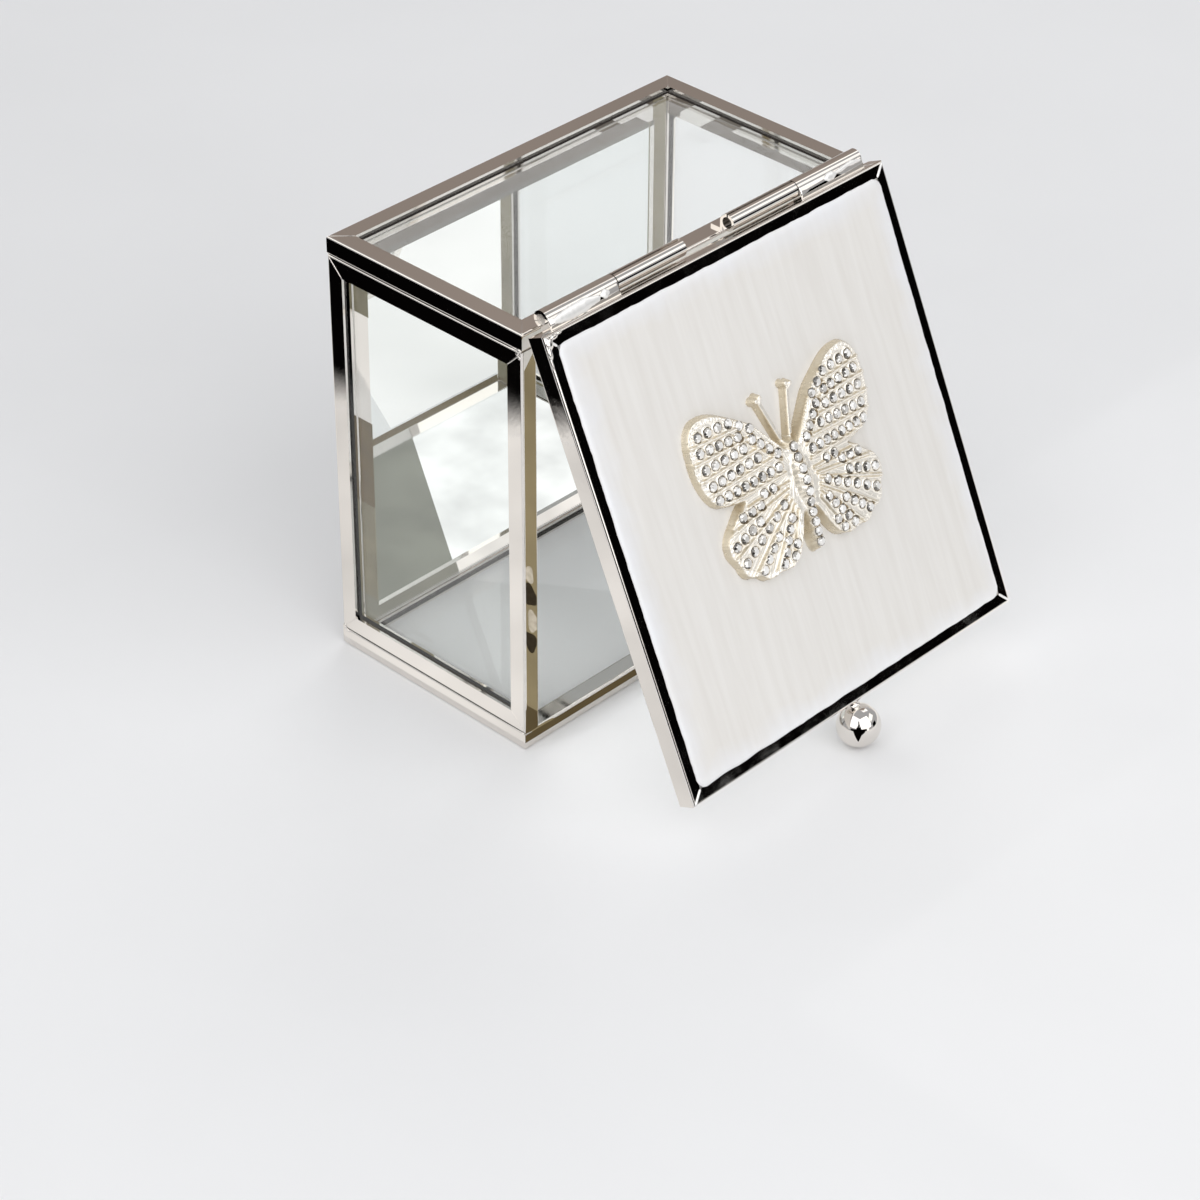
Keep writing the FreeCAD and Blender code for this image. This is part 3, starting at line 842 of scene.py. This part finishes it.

# %% [markdown]
# ## Joint lines
# The five frames are soldered to each other along their edges. The rounded edges leave a fine
# groove there, and a thin dark line along each joint is painted shade for that groove.
# It is a bead again, sunk in the groove, between the same corners.

# %% Joint lines
JOINT, JOINT_DEPTH, JOINT_INSET = 0.1, 0.17, 0.4
(side_low,), (side_high,) = wall_corners("back_wall", 0)
(mouth_y, low_z), (back_y, high_z) = wall_corners("left_wall", 1, 2)
joint_y = back_y - JOINT_DEPTH
joint_beads = [], []


def joint(start, end, out):
    """Add one line of painted shade between two points of a groove."""
    seam_bead(joint_beads, Vector(start), Vector(end), Vector(out), JOINT)


for across, inward in ((side_low, 1), (side_high, -1)):
    sunk, flat = across + inward * JOINT_DEPTH, across + inward * CHANNEL
    for z in (low_z, high_z):
        joint((sunk, mouth_y + JOINT_INSET, z), (sunk, back_y - JOINT_INSET, z), (-inward, 0, 0))
    joint((flat, joint_y, low_z), (flat, joint_y, high_z), (0, 1, 0))
for z in (low_z, high_z):
    joint((side_low + JOINT_INSET, joint_y, z), (side_high - JOINT_INSET, joint_y, z), (0, 1, 0))
settle(new_piece("painted_joint_shade", *joint_beads), "box", groove_shade, "nickel")

# %% [markdown]
# ## Hinge fillets
# The hinge tubes lie along the back edge of the lid. Solder filled the corner below each tube and
# stayed as a low bulge. It is one strip with a sine across it, thinner at its two ends.

# %% Hinge fillets
TUBE = 1.6
FILLET_STEPS = 14
FILLET_START, FILLET_DROP, FILLET_BULGE = 0.1, 2.05, 0.2
FILLET_TAPER, FILLET_END_SHARE = 0.3, 0.4
FILLET_SINK, FILLET_FOOT, FILLET_PLAY = 0.02, 0.3, 0.05
pin_low, pin_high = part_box("hinge_pin_left")
pin_middle = (Vector(pin_low) + Vector(pin_high)) / 2
on_axis = off_lid @ Vector((0, pin_middle.y, pin_middle.z)) / MM


def tube_fillet(start, end, spots, faces):
    """Low bulge of solder on the flat under a hinge tube."""
    first = len(spots)
    stations = ((start, FILLET_END_SHARE), (start + FILLET_TAPER, 1.0),
                (end - FILLET_TAPER, 1.0), (end, FILLET_END_SHARE))
    upper, top = on_axis.y + FILLET_START, on_axis.z + TUBE - FILLET_SINK
    for u, swell in stations:
        for n in range(FILLET_STEPS + 1):
            share = n / FILLET_STEPS
            bulge = FILLET_BULGE * swell * math.sin(math.pi * share)
            spots.append((u, upper - share * FILLET_DROP, top + bulge))
        spots.append((u, upper - FILLET_DROP, top - FILLET_FOOT))
        spots.append((u, upper, top - FILLET_FOOT))
    faces += bridge(FILLET_STEPS + 3, len(stations), first)


fillet_spots, fillet_faces = [], []
for tube in ("lid_knuckle_left", "lid_knuckle_right"):
    tube_low, tube_high = lid_span(tube)
    tube_fillet(tube_low[0] + FILLET_PLAY, tube_high[0] - FILLET_PLAY, fillet_spots, fillet_faces)
settle(new_piece("hinge_fillets", fillet_spots, fillet_faces, lid_place), "lid", nickel, "nickel")

# %% [markdown]
# ## Solder runs
# The tubes were soldered by hand, and the metal froze where it ran: a long uneven patch on the left
# tube and thinner ones on the right. Overlapping drops are fused by a voxel remesh and smoothed,
# which gives the rounded edge of melted metal.

# %% Solder runs
VOXEL, MELT, MELT_STEPS = 0.13, 0.5, 5
FLOW_SEED = 7
DROP_PITCH, DROP_LENGTH = 0.5, 0.75
END_SHARE, END_SLOPE = 0.6, 1.6
SWELL, SWELL_PACE, JITTER = 0.3, 0.5, 0.06
DRIFT, DRIFT_PACE = 0.3, 0.35
SWELL_ROW, DRIFT_ROW = 2.0, 5.0
RUNS = ((-37.6, -27.9, 1.15, 0.36, 0.8), (-26.4, -25.6, 0.85, 0.32, 0.65),
        (29.6, 31.4, 0.95, 0.36, 0.7), (32.2, 38.2, 0.5, 0.3, 0.35))
flow = random.Random(FLOW_SEED)
lid_turn = lid_place.to_quaternion()


def fused_drops(name, drops, body, finish):
    """Fuse stretched drops, given as centre, radii and turn, into one skin."""
    shape = bmesh.new()
    for centre, radii, turn in drops:
        place = Matrix.LocRotScale(Vector(centre) * MM, turn, Vector(radii) * MM)
        bmesh.ops.create_icosphere(shape, subdivisions=3, radius=1, matrix=place)
    raw = bpy.data.meshes.new(name)
    shape.to_mesh(raw)
    shape.free()
    mould = add_object(name, raw)
    remesh = mould.modifiers.new("fuse", "REMESH")
    remesh.mode = "VOXEL"
    remesh.voxel_size = VOXEL * MM
    smooth = mould.modifiers.new("melt", "SMOOTH")
    smooth.factor = MELT
    smooth.iterations = MELT_STEPS
    shaped = bpy.data.meshes.new_from_object(mould.evaluated_get(bpy.context.evaluated_depsgraph_get()))
    bpy.data.objects.remove(mould)
    shaped.name = name
    shaped.polygons.foreach_set("use_smooth", [True] * len(shaped.polygons))
    settle(add_object(name, shaped), body, finish, "nickel")


def on_lid(u, v, w):
    """Point on the flat lid, carried to the leaning one, in millimetres."""
    return lid_place @ (Vector((u, v, w)) * MM) / MM


def tube_run(start, end, width, thick, below):
    """Drops along the flat under a hinge tube; below is the distance down from the axis."""
    drops = []
    steps = max(1, round((end - start) / DROP_PITCH))
    for n in range(steps + 1):
        x = start + (end - start) * n / steps
        ends = min(1.0, END_SHARE + END_SLOPE * min(n, steps - n) / steps)
        lumps = SWELL * noise.noise(Vector((x * SWELL_PACE, start, SWELL_ROW)))
        swell = ends * (1 + lumps + JITTER * flow.uniform(-1, 1))
        shift = DRIFT * noise.noise(Vector((x * DRIFT_PACE, DRIFT_ROW, start)))
        centre = on_lid(x, on_axis.y - below + shift, on_axis.z + TUBE + FILLET_BULGE / 2)
        drops.append((centre, (DROP_LENGTH, width * swell, thick * swell), lid_turn))
    return drops


fused_drops("hinge_solder", [drop for run in RUNS for drop in tube_run(*run)], "lid", solder)

# %% [markdown]
# ## Corner drops
# The corners were closed with a drop of solder that was plated with the frame. On the lid it ran down
# along both bars; on the box it left small knots. They are fused drops again, in the frame's nickel.

# %% Corner drops
LID_DROP_SINK = 0.12
LID_DROPS = ((1.0, 1.5, (0.85, 1.1, 0.42)), (0.55, 3.1, (0.5, 1.1, 0.36)), (0.3, 4.9, (0.3, 1.2, 0.26)),
             (2.3, 0.75, (1.0, 0.5, 0.32)), (3.7, 0.5, (0.7, 0.35, 0.22)))
drip = [(on_lid(-lid_half + aside, lid_half - down, lid_face - LID_DROP_SINK), radii, lid_turn)
        for aside, down, radii in LID_DROPS]
fused_drops("lid_corner_solder", drip, "lid", nickel)

BOX_DROPS = {
    (mouth_y, high_z): (((0.02, 0.7, 0.15), (0.28, 0.6, 0.4)), ((0.05, 1.1, -0.55), (0.25, 0.45, 0.4)),
                        ((0.02, 0.55, -1.2), (0.25, 0.42, 0.35)), ((0.1, 1.9, 0.2), (0.24, 0.7, 0.28))),
    (back_y, low_z): (((0.02, -0.5, 0.3), (0.28, 0.55, 0.75)), ((0.05, -1.2, -0.3), (0.24, 0.6, 0.35))),
    (mouth_y, low_z): (((0.03, 0.6, -0.1), (0.2, 0.45, 0.3)),)}
knots = [(Vector((left_x, *corner)) + Vector(shift), radii, Quaternion())
         for corner, drops in BOX_DROPS.items() for shift, radii in drops]
fused_drops("box_corner_solder", knots, "box", nickel)

# %% [markdown]
# ## Studio
# A plain pale floor carries the shadow, and a pale world gives even light from all round. Two large
# soft lamps stand to the right and to the left of the camera, and a weaker one fills the far side.
# The metal is kept from mirroring the fill, because its upper faces should stay darker.

# %% Floor and light
world = bpy.data.worlds.new("studio_air")
scene.world = world
world.use_nodes = True
air = world.node_tree.nodes["Background"]
air.inputs["Color"].default_value = (0.80, 0.81, 0.83, 1)
air.inputs["Strength"].default_value = 0.55

floor_paper = new_finish("floor_paper", {"Roughness": 0.9})
tint(floor_paper, mottle(floor_paper, 14), (0.81, 0.81, 0.815), (0.825, 0.825, 0.83))
FLOOR_HALF = 4000
ground = new_piece("floor", [(-FLOOR_HALF, -FLOOR_HALF, 0), (FLOOR_HALF, -FLOOR_HALF, 0),
                             (FLOOR_HALF, FLOOR_HALF, 0), (-FLOOR_HALF, FLOOR_HALF, 0)], [(0, 1, 2, 3)])
ground.data.materials.append(floor_paper)


def soft_lamp(name, place, aim, across, watts):
    """Square lamp that faces a point."""
    lamp = bpy.data.lights.new(name, "AREA")
    lamp.size = across
    lamp.energy = watts
    holder = add_object(name, lamp)
    holder.location = place
    holder.rotation_mode = "QUATERNION"
    holder.rotation_quaternion = (Vector(aim) - Vector(place)).to_track_quat("-Z", "Y")
    return holder


def hide_from(item, *rays):
    """Keep some kinds of ray from seeing an object."""
    for ray in rays:
        setattr(item, f"visible_{ray}", False)


BOX_MIDDLE = (0, -0.01, 0.045)
soft_lamp("front_lamp", (-0.09, -0.74, 0.58), BOX_MIDDLE, across=0.95, watts=4.45)
soft_lamp("left_lamp", (-0.67, -0.06, 0.65), BOX_MIDDLE, across=0.95, watts=3.45)
fill = soft_lamp("right_fill", (0.65, 0.40, 0.60), BOX_MIDDLE, across=0.60, watts=2.0)
hide_from(fill, "glossy")
print("floor and lamps set")

# %% [markdown]
# ## Light thrown back by the mirror floor
# The silvered floor of the box throws lamp light onto the white inside of the lid. A path tracer
# finds such light slowly, so a small lamp just in front of the mirror stands for it. Neither the
# camera nor any mirrored or refracted ray sees the lamp itself.

# %% Light thrown back by the mirror floor
mirror_low, mirror_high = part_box("base_mirror")
mirror_middle = (Vector(mirror_low) + Vector(mirror_high)) / 2
BEFORE_MIRROR = Vector((0, -0.006, 0))
FAR_BEFORE = 10 * BEFORE_MIRROR
bounce = soft_lamp("mirror_bounce", mirror_middle + BEFORE_MIRROR, mirror_middle + FAR_BEFORE,
                   across=0.07, watts=0.03)
hide_from(bounce, "camera", "glossy", "transmission")
print("mirror bounce at", tuple(round(value, 3) for value in bounce.location))

# %% [markdown]
# ## Cards for the polished metal
# Polished metal shows only what stands round it. As in a studio, plain cards stand out of the
# picture: black ones that the frames mirror, a taupe one for the upper faces, and white ones that
# draw a bright line along each fold. Only mirrored rays see them, so they light and shade nothing
# else. A one-sided card is clear from behind.

# %% Cards for the polished metal
CARD_SPOTS = 5
UNEVEN = {"From Min": 0.3, "From Max": 0.7, "To Min": 0.78, "To Max": 1.12}


def flag(name, corners, tone, one_sided=False, faces=None):
    """Plain card between corners in metres, which only mirrored rays see."""
    finish = bpy.data.materials.new(name)
    finish.use_nodes = True
    finish.node_tree.nodes.clear()
    reach = float(np.linalg.norm(np.ptp(np.array(corners), axis=0)))
    uneven = add_node(finish, "ShaderNodeMapRange", {"Value": mottle(finish, CARD_SPOTS / reach), **UNEVEN})
    glow = add_node(finish, "ShaderNodeEmission",
                    {"Color": (*tone, 1), "Strength": uneven.outputs["Result"]})
    surface = glow.outputs["Emission"]
    if one_sided:
        back = add_node(finish, "ShaderNodeNewGeometry").outputs["Backfacing"]
        clear = add_node(finish, "ShaderNodeBsdfTransparent").outputs["BSDF"]
        either = add_node(finish, "ShaderNodeMixShader", {0: back, 1: surface, 2: clear})
        surface = either.outputs["Shader"]
    add_node(finish, "ShaderNodeOutputMaterial", {"Surface": surface})
    spots = [Vector(corner) / MM for corner in corners]
    card = new_piece(name, spots, faces or [tuple(range(len(corners)))])
    card.data.materials.append(finish)
    hide_from(card, "camera", "diffuse", "transmission", "shadow")


def standing(centre, facing, across, tall):
    """Corners of a card that faces a way."""
    turn = Vector(facing).to_track_quat("Z", "Y")
    return [Vector(centre) + turn @ Vector((x * across / 2, y * tall / 2, 0))
            for x, y in ((-1, -1), (1, -1), (1, 1), (-1, 1))]


BLACK, TAUPE, UMBER = (0.0015, 0.0012, 0.0012), (0.36, 0.31, 0.28), (0.25, 0.215, 0.19)
PALE, WHITE = (0.95, 0.94, 0.93), (1.5, 1.48, 1.45)
STANDING_CARDS = {
    "lid_flag": (BLACK, (0.44, -0.55, 0.095), (-0.642, 0.765, 0.0), 0.26, 0.19),
    "gap_flag": (BLACK, (-0.58, -0.55, 0.45), (0.592, 0.566, -0.35), 0.10, 0.9),
    "horizon_flag": (BLACK, (-0.36, -0.35, 0.055), (0.592, 0.566, 0.0), 0.80, 0.11),
    "horizon_peak_flag": (BLACK, (-0.36, -0.35, 0.15), (0.592, 0.566, 0.0), 0.20, 0.10),
    "upper_flag": (TAUPE, (0.36, 0.40, 0.36), (-0.592, -0.566, -0.45), 0.70, 0.90),
    "low_back_flag": (UMBER, (0.47, 0.64, 0.06), (-0.592, -0.804, 0.0), 0.6, 0.12),
    "front_card": (WHITE, (-0.16, -0.80, 0.12), (0.2, 1.0, -0.1), 0.45, 0.24),
    "tube_card": (WHITE, (0.50, -0.47, 0.47), (-0.592, 0.56, -0.55), 0.50, 0.26),
    "back_left_card": (WHITE, (-0.52, 0.51, 0.53), (0.574, -0.566, -0.592), 0.40, 0.40),
    "right_card": (WHITE, (0.50, 0.05, 0.68), (-0.592, -0.058, -0.803), 0.30, 0.40)}
for name, (tone_here, *place) in STANDING_CARDS.items():
    flag(name, standing(*place), tone_here)
print("standing cards:", len(STANDING_CARDS))

# %% [markdown]
# ## Slatted cards on the floor
# The left side of the frames mirrors the ground beside the box: dark further out, pale close by. A
# plain card there would also show in every other mirror, so these are made like a blind. Fine
# one-sided slats lean a little. Rays that travel one way see a full card, and others pass between.

# %% Slatted cards on the floor
SLAT_SHARE, SLAT_LEAN = 1.85, 0.3
FACE_X, FACE_Y = 0, 1


def crossings(outline, facing, foot):
    """Where the foot of a slat meets the edges of an outline."""
    found = []
    for one, other in zip(outline, outline[1:] + outline[:1]):
        if (one[facing] > foot) != (other[facing] > foot):
            share = (foot - one[facing]) / (other[facing] - one[facing])
            found.append(one[1 - facing] + share * (other[1 - facing] - one[1 - facing]))
    return sorted(found)


def louvre(name, outline, low, pitch, facing, tone):
    """Fine leaning slats that fill an outline in millimetres and face -X or -Y."""
    spots, faces = [], []
    tall = SLAT_SHARE * pitch
    start, end = (pick(spot[facing] for spot in outline) for pick in (min, max))
    for n in range(int((end - start) / pitch)):
        foot = start + (n + 0.5) * pitch
        ends = crossings(outline, facing, foot)
        near, far = (ends[0], ends[-1]) if facing == FACE_Y else (ends[-1], ends[0])
        first = len(spots)
        for place, rise in ((near, 0), (far, 0), (far, tall), (near, tall)):
            row = foot - SLAT_LEAN * rise
            across, along = (place, row) if facing == FACE_Y else (row, place)
            spots.append(Vector((across, along, low + rise)) * MM)
        faces.append(tuple(range(first, first + 4)))
    flag(name, spots, tone, one_sided=True, faces=faces)


EDGE_NEAR, EDGE_FAR = (-221, -100), (-82, 160)
GROUND_LEFT, GROUND_BACK = -512, 500
EDGE_STRIPS, EDGE_STRIP, EDGE_POWER = 6, 2.5, 1.5
FLOOR_LIFT, DARK_PITCH, PALE_PITCH = 0.3, 1.0, 0.3
BOX_SIDE, PALE_NEAR = -43.5, -40


def ground_edge(shift):
    """Edge of the dark ground, moved towards the box."""
    return [(EDGE_NEAR[0] + shift, EDGE_NEAR[1]), (EDGE_FAR[0] + shift, EDGE_FAR[1]),
            (EDGE_FAR[0] + shift, GROUND_BACK)]


dark_ground = [(GROUND_LEFT, EDGE_NEAR[1]), *ground_edge(0), (GROUND_LEFT, GROUND_BACK)]
louvre("left_flag", dark_ground, FLOOR_LIFT, DARK_PITCH, FACE_Y, BLACK)
for n in range(EDGE_STRIPS):
    share = ((n + 0.5) / EDGE_STRIPS) ** EDGE_POWER
    tone_here = [dark + (light - dark) * share for dark, light in zip(BLACK, PALE)]
    strip = ground_edge(n * EDGE_STRIP) + ground_edge((n + 1) * EDGE_STRIP)[::-1]
    louvre(f"left_edge_{n}_flag", strip, FLOOR_LIFT, DARK_PITCH, FACE_Y, tone_here)
pale_start = EDGE_STRIPS * EDGE_STRIP
edge_share = (PALE_NEAR - EDGE_NEAR[1]) / (EDGE_FAR[1] - EDGE_NEAR[1])
pale_left = EDGE_NEAR[0] + edge_share * (EDGE_FAR[0] - EDGE_NEAR[0]) + pale_start
louvre("left_card", [(pale_left, PALE_NEAR), (BOX_SIDE, PALE_NEAR), (BOX_SIDE, EDGE_FAR[1]),
                     (EDGE_FAR[0] + pale_start, EDGE_FAR[1])], FLOOR_LIFT, PALE_PITCH, FACE_Y, PALE)
print("slatted strips along the dark ground:", EDGE_STRIPS)

# %% [markdown]
# ## Cards by the knob and the mouth
# A polished ball mirrors the whole room in small. A dark patch in front of it and a low card behind
# the patch draw the black star on its face. The rim mirrors a brown strip, and the metal at the right
# of the mouth mirrors a bright floor.

# %% Cards by the knob and the mouth
BROWN, SOFT_WHITE = (0.137, 0.105, 0.055), (1.03, 1.02, 1.01)
CARD_RISE, KNOB_CARD_RISE = 1.2, 1.7
KNOB_FAR_LOW, KNOB_FAR_HIGH = 0.5, 9
KNOB_FAR = ((-19.2, -98.1), (-51.6, -57.4))
KNOB_PATCH = ((-3.6, -44.9), (-7.3, -51.5), (-15.9, -89.4), *KNOB_FAR, (-10.9, -47.0))
RIM_STRIP = ((-44, -1.5), (52, -1.5), (52, -5.5), (-30, -5.5), (-30, -11), (-44, -11))
MOUTH_GROUND = ((14, -6), (260, -6), (260, -220), (-60, -220), (-60, -80), (50, -80))


def lying(outline, rise):
    """Corners of a card that lies above the floor, from its outline in millimetres."""
    return [Vector((x, y, rise)) * MM for x, y in outline]


flag("knob_flag", lying(KNOB_PATCH, KNOB_CARD_RISE), BLACK)
flag("knob_far_flag", lying(KNOB_FAR, KNOB_FAR_LOW) + lying(reversed(KNOB_FAR), KNOB_FAR_HIGH), BLACK)
flag("rim_flag", lying(RIM_STRIP, CARD_RISE), BROWN)
flag("mouth_card", lying(MOUTH_GROUND, CARD_RISE), SOFT_WHITE)
print("cards by the knob and the mouth set")

# %% [markdown]
# ## Cards inside the box
# The inner faces of the bars mirror each other and the room behind the camera. Narrow one-sided
# cards stand close to the faces that show them and give their olive, brown and slate tones. Two
# slatted cards over the lower pane are what the mirror floor shows: a pale half and a smoky one.

# %% Cards inside the box
TAN, OLIVE, SLATE = (0.318, 0.268, 0.161), (0.24, 0.225, 0.16), (0.176, 0.165, 0.15)
CLEAR, SMOKE = (1.08, 1.08, 1.07), (0.235, 0.24, 0.20)
BASE_SIDE = (32.5, 38.5)
UPRIGHT_CARDS = {
    "jamb_flag": (TAN, -34, (-11, -3), (0.5, 80), -1),
    "base_left_high_flag": (OLIVE, -31, BASE_SIDE, (64, 74), -1),
    "base_left_mid_flag": (BROWN, -31, BASE_SIDE, (24, 42), -1),
    "base_left_low_flag": (OLIVE, -31, BASE_SIDE, (-5, 24), -1),
    "base_right_flag": (OLIVE, 38.8, (38.9, 42.2), (0, 81), -1),
    "rim_right_flag": (OLIVE, 35, (2, 7), (0, 80), 1),
    "mouth_right_flag": (OLIVE, 35, (-5.5, -1), (0, 80), 1)}
LEVEL_CARDS = {"base_back_flag": ((-36, 46), (34, 39.5)), "wall_right_flag": ((30.5, 35.5), (4, 34))}
LEVEL_RISE = 74
PANE_HALF, PANE_NEAR, PANE_FAR = 38.5, 2.6, 41.5
SPLIT_NEAR, SPLIT_FAR = (12, PANE_NEAR), (-14, PANE_FAR)
PANE_LIFT, PANE_PITCH = 3.2, 0.5


def upright(x, y, z, toward):
    """Corners of a narrow card in a plane of constant x, which faces left or right."""
    spots = [(x, y[0], z[0]), (x, y[1], z[0]), (x, y[1], z[1]), (x, y[0], z[1])]
    return [Vector(spot) * MM for spot in (spots if toward > 0 else reversed(spots))]


for name, (tone_here, *place) in UPRIGHT_CARDS.items():
    flag(name, upright(*place), tone_here, one_sided=True)
for name, (x, y) in LEVEL_CARDS.items():
    corners = ((x[0], y[0]), (x[1], y[0]), (x[1], y[1]), (x[0], y[1]))
    flag(name, lying(corners, LEVEL_RISE), SLATE, one_sided=True)
louvre("glass_card", [SPLIT_NEAR, (PANE_HALF, PANE_NEAR), (PANE_HALF, PANE_FAR), SPLIT_FAR],
       PANE_LIFT, PANE_PITCH, FACE_X, CLEAR)
louvre("smoke_card", [(-PANE_HALF, PANE_NEAR), SPLIT_NEAR, SPLIT_FAR, (-PANE_HALF, PANE_FAR)],
       PANE_LIFT, PANE_PITCH, FACE_X, SMOKE)
print("cards inside the box:", len(UPRIGHT_CARDS) + len(LEVEL_CARDS))

# %% [markdown]
# ## Marks on the jamb
# The jamb of the left wall mirrors the stones of the lid as a few pale and dark spots. Wobbly ovals
# just in front of its card stand for them.

# %% Marks on the jamb
SOOT, SAND = (0.05, 0.04, 0.026), (0.68, 0.63, 0.53)
JAMB_X = -34.3
JAMB_MARKS = {
    "pale_upper": (SAND, (-8.3, 30.2), (1.3, 1.7)),
    "dark_upper": (SOOT, (-8.0, 25.9), (1.7, 2.3)),
    "pale_lower": (SAND, (-7.3, 20.6), (1.3, 2.3)),
    "dark_lower": (SOOT, (-7.9, 16.0), (1.6, 2.1))}
MARK_SIDES, MARK_LOBES, MARK_WOBBLE = 24, 3, 0.15
for name, (tone_here, middle, half_size) in JAMB_MARKS.items():
    spots = []
    for n in range(MARK_SIDES):
        turn = n * math.tau / MARK_SIDES
        swell = 1 + MARK_WOBBLE * math.sin(MARK_LOBES * turn + middle[1])
        spots.append(Vector((JAMB_X, middle[0] + swell * half_size[0] * math.cos(turn),
                             middle[1] - swell * half_size[1] * math.sin(turn))) * MM)
    flag(f"jamb_{name}_flag", spots, tone_here, one_sided=True)
print("marks on the jamb:", len(JAMB_MARKS))
